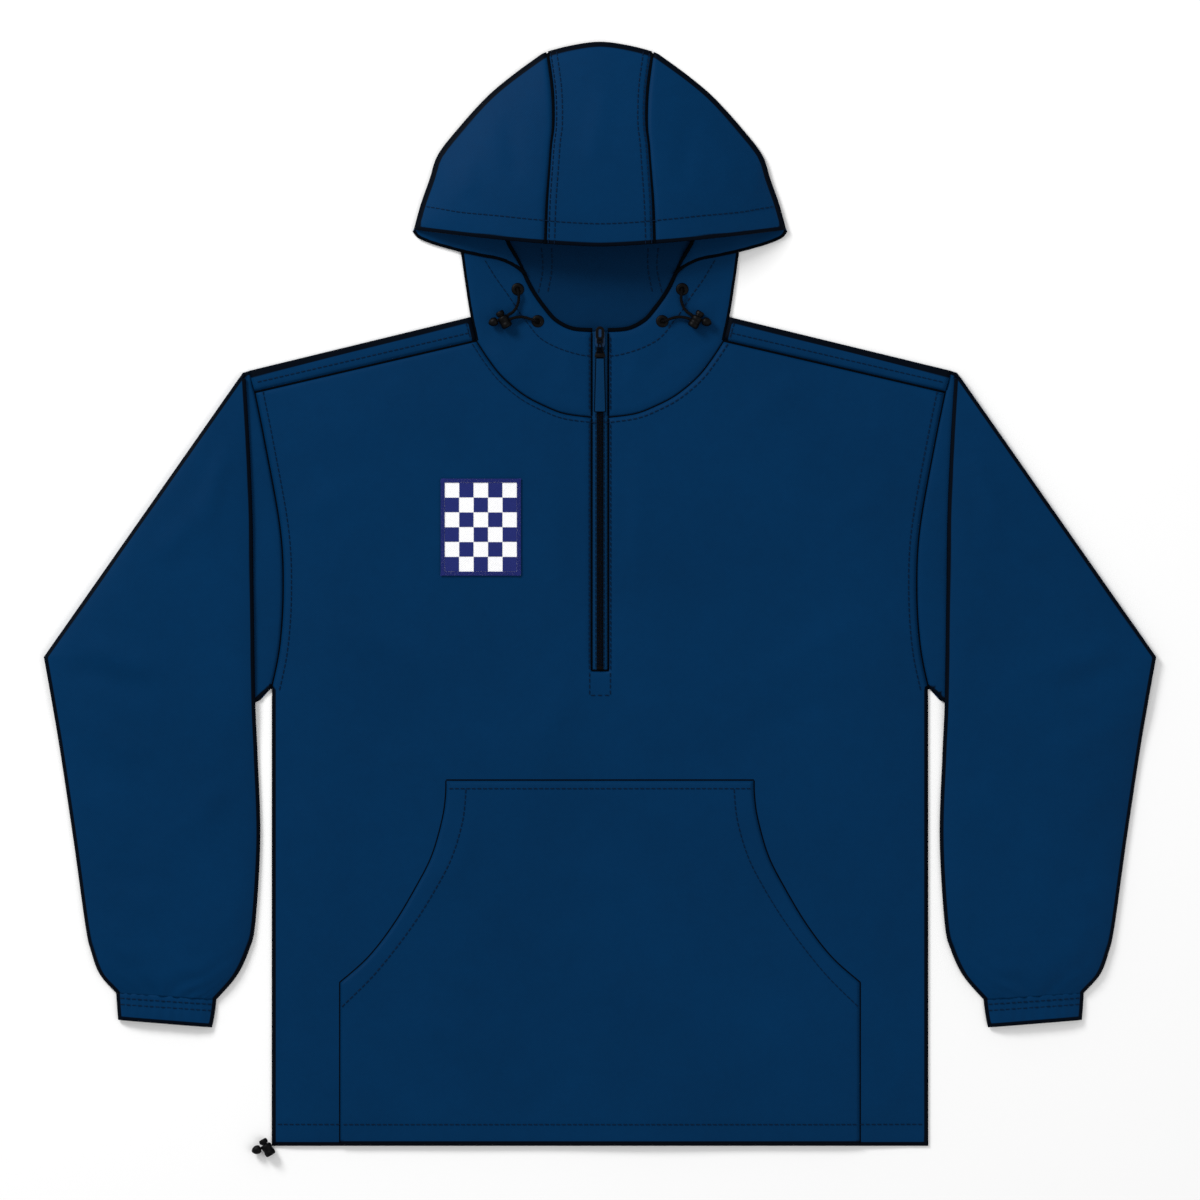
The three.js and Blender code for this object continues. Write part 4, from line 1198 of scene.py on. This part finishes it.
def crownInside(t, inside):  # the place inside the right seam, measured across
    goal = crownPoint(seamShare(t), t)[0] - inside
    low, high = 0.0, seamShare(t)
    for _ in range(22):
        middle = (low + high) / 2
        if crownPoint(middle, t)[0] < goal:
            low = middle
        else:
            high = middle
    return (low + high) / 2


def sewPiece(name, rows, slot="shell"):  # rows of stitches: paths, height
    bm = bmesh.new()
    for paths, zAt in rows:
        for path in paths:
            sewLine(bm, path, zAt)
    piece(name, bm, "thread", slot, kind="solid")


def makeStitches():
    hem, zipSide, square = bodySizes["hemStitch"], 9.3, (425, 404.1)
    frontRows = [
        spaced((290, hem), (232.5, hem)), offsetPath(armholeLine, -7.2), offsetPath(neckLine[:-1], 4.6),
        spaced((zipSide, 648), (zipSide, 426.6)), spaced((zipSide, square[0]), (zipSide, square[1])),
    ]
    sewPiece("bodyStitches", [
        ([p for path in frontRows for p in bothSides(path)], frontTop),
        ([spaced((-zipSide, square[1]), (zipSide, square[1]))], frontTop),
        (bothSides(yokeLine(8.0)), None),
        (bothSides([(116.4, 724.6), (120.6, 739.2)]), flatAt(3.45)),
    ])
    top = pocketSizes["topStitch"]
    mouth = smoothPath(pocketSizes["mouthStitch"], 6)
    sewPiece("pocketStitches", [
        ([spaced((-231, hem), (231, hem)), spaced((-136, top), (136, top)), *bothSides(mouth)], pocketTop)])
    collarRows = [smoothPath(hoodSizes["channel"], 5), spaced((zipSide, 660), (zipSide, 726))]
    sewPiece("collarStitches", [([p for path in collarRows for p in bothSides(path)], collarTop)])
    crownRuns = [
        [crownPoint(side * crownInside(i / 60, inside), i / 60) for i in range(61)]
        for side in sides.values() for inside in (2.6, 8.0)]
    sewPiece("hoodStitches", [([crownLine(20.5, 26), *crownRuns], None)])
    insideRows = [[(52.5, 806), (51.3, 786.6), (55.8, 765)], [(43.2, 806), (43.2, 786.6), (47, 766)]]
    sewPiece("hoodInsideStitches", [
        ([p for path in insideRows for p in bothSides(smoothPath(path, 4))], hoodBackTop)])
    cuffRuns = []
    for down in (3.6, 9.2):
        start, end = Vector((434.4 - 0.04 * down, 136.2 - down)), Vector((345 - 0.04 * down, 130.1 - down))
        cuffRuns += bothSides([tuple(start.lerp(end, i / 30)) for i in range(1, 30)])
    sewPiece("cuffStitches", [(cuffRuns, cuffTop)], "cuff")


def cuffTop(x, y):
    middle, half, low, rise = 389.7, 44.8, 1.6, 5.5
    across = np.clip((np.abs(x) - middle) / half, -1, 1)
    return low + rise * np.sqrt(1 - np.abs(across) ** 4)


makeSeamShade()
makeStitches()
print("seams and stitches sewn")

# half zip
zipSizes = {
    "tapeHalf": 6.9, "tapeTop": 4.3, "bottom": 426.9, "top": 730.6, "pitch": 1.45, "coilHalf": 2.7,
    "coilFloor": 4.45, "coilHeight": 1.45, "coilCord": 2.55, "stitch": 3.9, "pin": (721, 10.8),
    "sliderFloor": 6.3,
}


def rounded(bm, corners, amount, segments=2):
    edges = {e for v in corners for f in v.link_faces for e in f.edges}
    bmesh.ops.bevel(
        bm, geom=list(edges), offset=amount, segments=segments, affect="EDGES", profile=0.5, material=-1,
        clamp_overlap=True)


def block(bm, low, high, bevel):
    corners = bmesh.ops.create_cube(bm, size=1)["verts"]
    bmesh.ops.scale(bm, vec=[b - a for a, b in zip(low, high)], verts=corners)
    bmesh.ops.translate(bm, vec=[(a + b) / 2 for a, b in zip(low, high)], verts=corners)
    rounded(bm, corners, bevel)


def plate(bm, plan, low, high, bevel, segments=2):  # a flat piece with a drawn outline
    corners = [bm.verts.new((x, y, low)) for x, y in plan]
    raised = raiseFaces(bm, [bm.faces.new(corners)], high - low)
    rounded(bm, [*corners, *raised], bevel, segments)


def raiseFaces(bm, faces, height):
    grown = bmesh.ops.extrude_face_region(bm, geom=faces)["geom"]
    raised = [g for g in grown if isinstance(g, bmesh.types.BMVert)]
    bmesh.ops.translate(bm, vec=(0, 0, height), verts=raised)
    return raised


def topFace(bm):
    return max(bm.faces, key=lambda f: f.calc_center_median().z)


def turned(profile, steps):  # a profile of (radius, height) spun round its axis
    bm = bmesh.new()
    corners = [bm.verts.new((r, 0, h)) for r, h in profile]
    edges = [bm.edges.new(pair) for pair in zip(corners, corners[1:])]
    bmesh.ops.spin(
        bm, geom=[*corners, *edges], cent=(0, 0, 0), axis=(0, 0, 1), angle=2 * math.pi, steps=steps,
        use_merge=True)
    bmesh.ops.remove_doubles(bm, verts=bm.verts, dist=0.01)
    bmesh.ops.recalc_face_normals(bm, faces=bm.faces)
    return bm


def setAt(bm, turn, spot):
    bmesh.ops.rotate(bm, cent=(0, 0, 0), matrix=turn, verts=bm.verts)
    bmesh.ops.translate(bm, vec=spot, verts=bm.verts)
    return bm


def makeZip():
    sizes = zipSizes
    half, low, high = sizes["tapeHalf"], sizes["bottom"], sizes["top"]
    cut = [(-half, low), (half, low), (half, high), (-half, high)]
    flatPiece(
        "zipTape", cut, flatAt(sizes["tapeTop"]), ["zip_tape"], inset=0, cell=2.3, rim=0,
        finish="zipTape", slot="zip_tape", wall=0.7)
    teeth = bmesh.new()
    floor, top, reach = sizes["coilFloor"], sizes["coilFloor"] + sizes["coilHeight"], sizes["coilHalf"]
    pattern = bmesh.new()
    block(pattern, (-0.35, -0.42, floor), (reach, 0.42, top), 0.28)
    mesh = bpy.data.meshes.new("tooth")
    pattern.to_mesh(mesh)
    pattern.free()
    count = int((high - low - 3) / sizes["pitch"])
    for k in range(count):
        for side, shift in ((1, 0), (-1, 0.5)):
            start = len(teeth.verts)
            teeth.from_mesh(mesh)
            teeth.verts.ensure_lookup_table()
            new = teeth.verts[start:]
            if side < 0:
                bmesh.ops.rotate(teeth, cent=(0, 0, 0), matrix=Matrix.Rotation(math.pi, 3, "Z"), verts=new)
            bmesh.ops.translate(teeth, vec=(0, low + 3 + (k + shift) * sizes["pitch"], 0), verts=new)
    bpy.data.meshes.remove(mesh)
    for x in (-sizes["coilCord"], sizes["coilCord"]):
        rod(teeth, (x, low + 2, floor + 0.45), (x, high - 1, floor + 0.45), 0.42, 8)
    block(teeth, (-3.1, low + 0.2, floor), (3.1, low + 3.0, top + 0.2), 0.5)
    piece("zipCoil", teeth, "coil", "zip_coil", ["zip_coil"], kind="solid")
    sewn = bmesh.new()
    fine = {**stitchSettings, "radius": 0.3}
    for x in (-sizes["stitch"], sizes["stitch"]):
        sewLine(sewn, spaced((x, low + 2), (x, high - 2)), flatAt(sizes["tapeTop"]), fine)
    piece("zipTapeStitches", sewn, "thread", "zip_tape", kind="solid")


def oval(halfWide, low, high, steps=8):  # a long ring plan with round ends
    ends = [(math.pi * k / steps) for k in range(steps + 1)]
    top = [(halfWide * math.cos(a), high - halfWide + halfWide * math.sin(a)) for a in ends]
    return [*top, *((-x, low + high - y) for x, y in top)]


def makeSlider():
    floor = zipSizes["sliderFloor"]
    pinY, pinZ = zipSizes["pin"]
    bm = bmesh.new()
    plan = [
        (-3.4, 716.5), (3.4, 716.5), (4.5, 719.0), (4.6, 729.5), (3.0, 734.2), (-3.0, 734.2), (-4.6, 729.5),
        (-4.5, 719.0)]
    plate(bm, plan, floor, floor + 2.2, 0.55, 3)
    piece("zipSlider", bm, "dyed", "hardware", ["zip_slider"], kind="solid")
    bridge = bmesh.new()
    plate(bridge, oval(3.9, 722.6, 735.2), floor + 1.9, floor + 3.2, 0.35)
    top = topFace(bridge)
    bmesh.ops.inset_region(bridge, faces=[top], thickness=2.3)
    bmesh.ops.translate(bridge, vec=(0, 0, -0.6), verts=list(top.verts))
    top.material_index = 1
    for side in (-1, 1):
        block(bridge, (side * 2.4 - 0.5, 719.6, floor + 1.8), (side * 2.4 + 0.5, 723.4, pinZ + 1.1), 0.35)
    rod(bridge, (-2.4, pinY, pinZ), (2.4, pinY, pinZ), 0.6)
    made = piece("zipSliderBridge", bridge, "painted", "hardware", kind="solid")
    made.data.materials.append(materials["dyed"])


def makePull():
    pinY, pinZ = zipSizes["pin"]
    floor = zipSizes["sliderFloor"]
    ring = bmesh.new()
    turn = Matrix.Rotation(math.pi / 2, 4, "Z") @ Matrix.Rotation(math.pi / 2, 4, "Y")
    turn = Matrix.Translation((0, pinY + 1.37, pinZ)) @ turn
    bmesh.ops.create_circle(ring, cap_ends=False, radius=0.45, segments=10, matrix=turn)
    bmesh.ops.spin(
        ring, geom=[*ring.verts, *ring.edges], cent=(0, pinY, pinZ), axis=(1, 0, 0), angle=2 * math.pi,
        steps=20, use_merge=True)
    bmesh.ops.scale(ring, vec=(3.2, 1, 1), verts=ring.verts)
    for side in (-1, 1):
        wire = flipped([
            (1.0, pinY - 1.2, pinZ - 0.5), (1.5, pinY - 3.4, pinZ - 1.4), (2.6, pinY - 7.0, floor + 1.2),
            (3.4, 709.5, floor + 0.9)], side)
        for start, end in zip(wire, wire[1:]):
            rod(ring, start, end, 0.5, 10)
    plan = [(-4.8, 707.3), (4.8, 707.3), (4.6, 710.0), (3.6, 710.9), (-3.6, 710.9), (-4.6, 710.0)]
    plate(ring, plan, floor, floor + 2.1, 0.4)
    piece("zipPullLink", ring, "painted", "hardware", ["zip_pull_link"], body="zip_pull", kind="solid")
    tab = bmesh.new()
    plan = [(-4.7, 658), (4.7, 658), (5.4, 658.9), (4.1, 707), (-4.1, 707), (-5.4, 658.9)]
    plate(tab, plan, floor + 0.1, floor + 1.5, 0.3)
    top = topFace(tab)
    bmesh.ops.inset_region(tab, faces=[top], thickness=0.55, use_even_offset=True)
    for f in tab.faces:
        f.material_index = 0 if f is top else 1
    bmesh.ops.translate(tab, vec=(0, 0, 0.12), verts=list(top.verts))
    made = piece("zipPullTab", tab, "zipTape", "pull_tab", ["zip_pull_tab"], body="zip_pull", kind="solid")
    made.data.materials.append(materials["darkTrimAndSeamShade"])


makeZip()
makeSlider()
makePull()
print("zip fitted")

# badge: checks in embroidered squares, with an overlocked border
badgeSettings = {
    "centre": (-107, 555), "size": (72, 87), "lift": 1.1, "border": 3.6, "columns": 5, "rows": 6,
    "raised": 0.3, "sunk": 0.1, "gap": 0.3, "thread": 0.55, "threadPitch": 1.05,
}


def makeBadge(settings):
    (cx, cy), (width, height) = settings["centre"], settings["size"]
    border, lift, sunk, gap = (settings[key] for key in ("border", "lift", "sunk", "gap"))
    cut = [(cx + a * width / 2, cy + b * height / 2) for a, b in ((-1, -1), (1, -1), (1, 1), (-1, 1))]
    flatPiece(
        "chestBadge", cut, lower(frontTop, -lift), ["chest_patch"], cell=4.0, rim=1.0,
        finish="badgeWhite", slot="patch", wall=0.8)
    inner = (width - 2 * border, height - 2 * border)
    cell = (inner[0] / settings["columns"], inner[1] / settings["rows"])
    squares = bmesh.new()
    for column in range(settings["columns"]):
        for row in range(settings["rows"]):
            if (column + row) % 2:
                continue
            x, y = cx - inner[0] / 2 + (column + 0.5) * cell[0], cy - inner[1] / 2 + (row + 0.5) * cell[1]
            made = bmesh.ops.create_grid(squares, x_segments=3, y_segments=3, size=0.5)["verts"]
            bmesh.ops.scale(squares, vec=(cell[0] - gap, cell[1] - gap, 1), verts=made)
            bmesh.ops.translate(squares, vec=(x, y, 0), verts=made)
    raiseSheet(squares, lower(frontTop, sunk - lift))
    raiseFaces(squares, squares.faces[:], settings["raised"] + sunk)
    piece("badgeSquares", squares, "badgeIndigo", "patch", kind="solid")
    edge = bmesh.new()
    halves = ((width - border) / 2, (height - border) / 2)
    for axis in (0, 1):
        run = 2 * halves[axis] + border - 1
        count = int(run / settings["threadPitch"])
        for sign in (-1, 1):
            for k in range(count + 1):
                along, out = run * (k / count - 0.5), sign * halves[1 - axis]
                near, far = out - border * 0.5, out + border * 0.5
                lean = settings["threadPitch"] * 0.5
                ends = np.array([(along - lean, near), (along + lean, far)])
                x, y = ends.T if axis == 0 else ends.T[::-1]
                places = zip(cx + x, cy + y, frontTop(cx + x, cy + y) + lift + sunk)
                rod(edge, *places, settings["thread"], 6)
    piece("badgeBorder", edge, "badgeIndigo", "patch", kind="solid")


makeBadge(badgeSettings)
print("badge sewn on")

# drawcord: eyelets, cords, locks and ends
cordSettings = {
    "diameter": 2.7,
    "floor": 3.64,
    "eyelets": {"upper": (-73.8, 768.6), "lower": (-55.8, 739.8)},
    "eyeletProfile": [
        (0.01, 0.25), (1.9, 0.25), (2.0, 0.9), (2.5, 1.25), (3.2, 1.35), (4.4, 1.2), (5.3, 0.75), (5.7, 0.1),
        (5.4, -0.2), (0.01, -0.2),
    ],
    "upper": [
        (-73.8, 769.6, -1.9), (-73.8, 768.8, 0.3), (-73.6, 767.4, 2.4), (-73.1, 764.9, 3.6),
        (-72.8, 761.2, 2.6), (-73.2, 757.2, 1.9), (-75, 752.2, 2.3), (-78.2, 747.9, 3.8),
        (-82.4, 745.2, 4.9), (-85.6, 740.0, 4.9),
    ],
    "lower": [
        (-55.0, 739.8, -1.9), (-55.8, 739.8, 0.3), (-56.8, 740, 2.4), (-59.2, 740.6, 3.6), (-62.8, 741.8, 2.6),
        (-67.2, 743.2, 1.9), (-71.8, 743.6, 2.5), (-76.4, 743, 4), (-80.4, 741.6, 4.9), (-85.0, 738.6, 4.9),
    ],
}
lockRim = [(4.9, -1.6), (4.55, -1.2), (4.55, 1.2), (4.9, 1.6)]
lockEnd = [(0.01, 5.6), (3.4, 5.6), (4.4, 5.1), (4.85, 4.1)]
lockSettings = {
    "middle": 4.9,
    "hemShift": (-212.5, -743),
    "lock": {
        "place": (-85.3, 739.2), "turn": 2 / 3,
        "profile": [*((r, -h) for r, h in lockEnd), *lockRim, *reversed(lockEnd)],
    },
    "button": {
        "place": (-89.6, 746.6), "turn": 2 / 3,
        "flutes": (12, 3.6, 0.03),  # how many, from this far out, how deep
        "profile": [
            (0.01, -4.0), (2.1, -4.0), (2.2, -2.3), (3.3, -2.3), (3.3, -1.5), (3.9, -1.2), (4.0, 0.6),
            (3.7, 1.5), (2.9, 2.1), (1.9, 2.1), (1.5, 1.9), (0.01, 1.9),
        ],
    },
    "end": {
        "place": (-95.3, 739.15), "turn": 1.11,
        "profile": [
            (0.01, -6.2), (1.3, -6.2), (1.3, -3.4), (1.9, -3.4), (2.9, -3.1), (3.7, -2.0), (4.0, -0.6),
            (3.85, 1.2), (3.1, 2.9), (2.0, 4.0), (1.1, 4.7), (0.01, 5.1),
        ],
    },
}
lockParts = {
    "CordLock": ("lock", "cord_lock"),
    "LockButton": ("button", "cord_lock_button"),
    "CordEnd": ("end", "cord_end"),
}


def makeEyelet(name, spot, side, node):
    x, y = side * spot[0], spot[1]
    reach = max(r for r, h in cordSettings["eyeletProfile"])
    ring = np.array([(x + reach * math.cos(a), y + reach * math.sin(a)) for a in np.linspace(0, 6.2, 16)])
    height = float(np.mean(collarTop(ring[:, 0], ring[:, 1])))
    bm = setAt(turned(cordSettings["eyeletProfile"], 40), Matrix.Identity(3), (x, y, height))
    piece(name, bm, "painted", "hardware", [node], kind="solid")


def makeLockPart(name, part, side, shift, floor, node):
    row = lockSettings[part]
    angle = row["turn"] * math.pi
    facing = Vector((side * math.cos(angle), math.sin(angle), 0))
    spot = (side * (row["place"][0] + shift[0]), row["place"][1] + shift[1], floor + lockSettings["middle"])
    bm = turned(row["profile"], 36)
    if "flutes" in row:  # round the rim, for the grip
        count, start, depth = row["flutes"]
        for v in bm.verts:
            if math.hypot(v.co.x, v.co.y) > start:
                v.co.xy *= 1 - depth * (1 + math.cos(count * math.atan2(v.co.y, v.co.x))) / 2
    setAt(bm, facing.to_track_quat("Z", "Y").to_matrix(), spot)
    return piece(name, bm, "moulded", "lock", [node], kind="solid", sharp=50)


def makeCord(name, route, side, node):
    points = smoothPath([(side * x, y - originY, z + cordSettings["floor"]) for x, y, z in route], 1.4)
    curve = bpy.data.curves.new(name, "CURVE")
    curve.dimensions = "3D"
    curve.bevel_depth = cordSettings["diameter"] / 2 * mm
    curve.bevel_resolution = 4
    curve.use_fill_caps = True
    spline = curve.splines.new("POLY")
    spline.points.add(len(points) - 1)
    for point, spot in zip(spline.points, points):
        point.co = (*(v * mm for v in spot), 1)
    curve.materials.append(materials["braid"])
    made = place(name, curve)
    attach(made, "garment")
    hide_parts(node)


for name, side in sides.items():
    flip = -side  # the settings are for the left
    for level, spot in cordSettings["eyelets"].items():
        makeEyelet(name + level.capitalize() + "Eyelet", spot, flip, f"eyelet_{level}_{name}")
    fittings = [
        makeLockPart(name + kind, part, flip, (0, 0), cordSettings["floor"], f"{node}_{name}")
        for kind, (part, node) in lockParts.items()]
    makeCord(name + "UpperCord", cordSettings["upper"], flip, f"cord_upper_{name}")
    makeCord(name + "LowerCord", cordSettings["lower"], flip, f"cord_lower_{name}")
for name, part, node in (
        ("hemLock", "lock", "hem_lock"), ("hemLockButton", "button", "hem_lock_button"),
        ("hemCordEnd", "end", "hem_cord_end")):
    makeLockPart(name, part, 1, lockSettings["hemShift"], 0, node)
print("drawcord fitted")
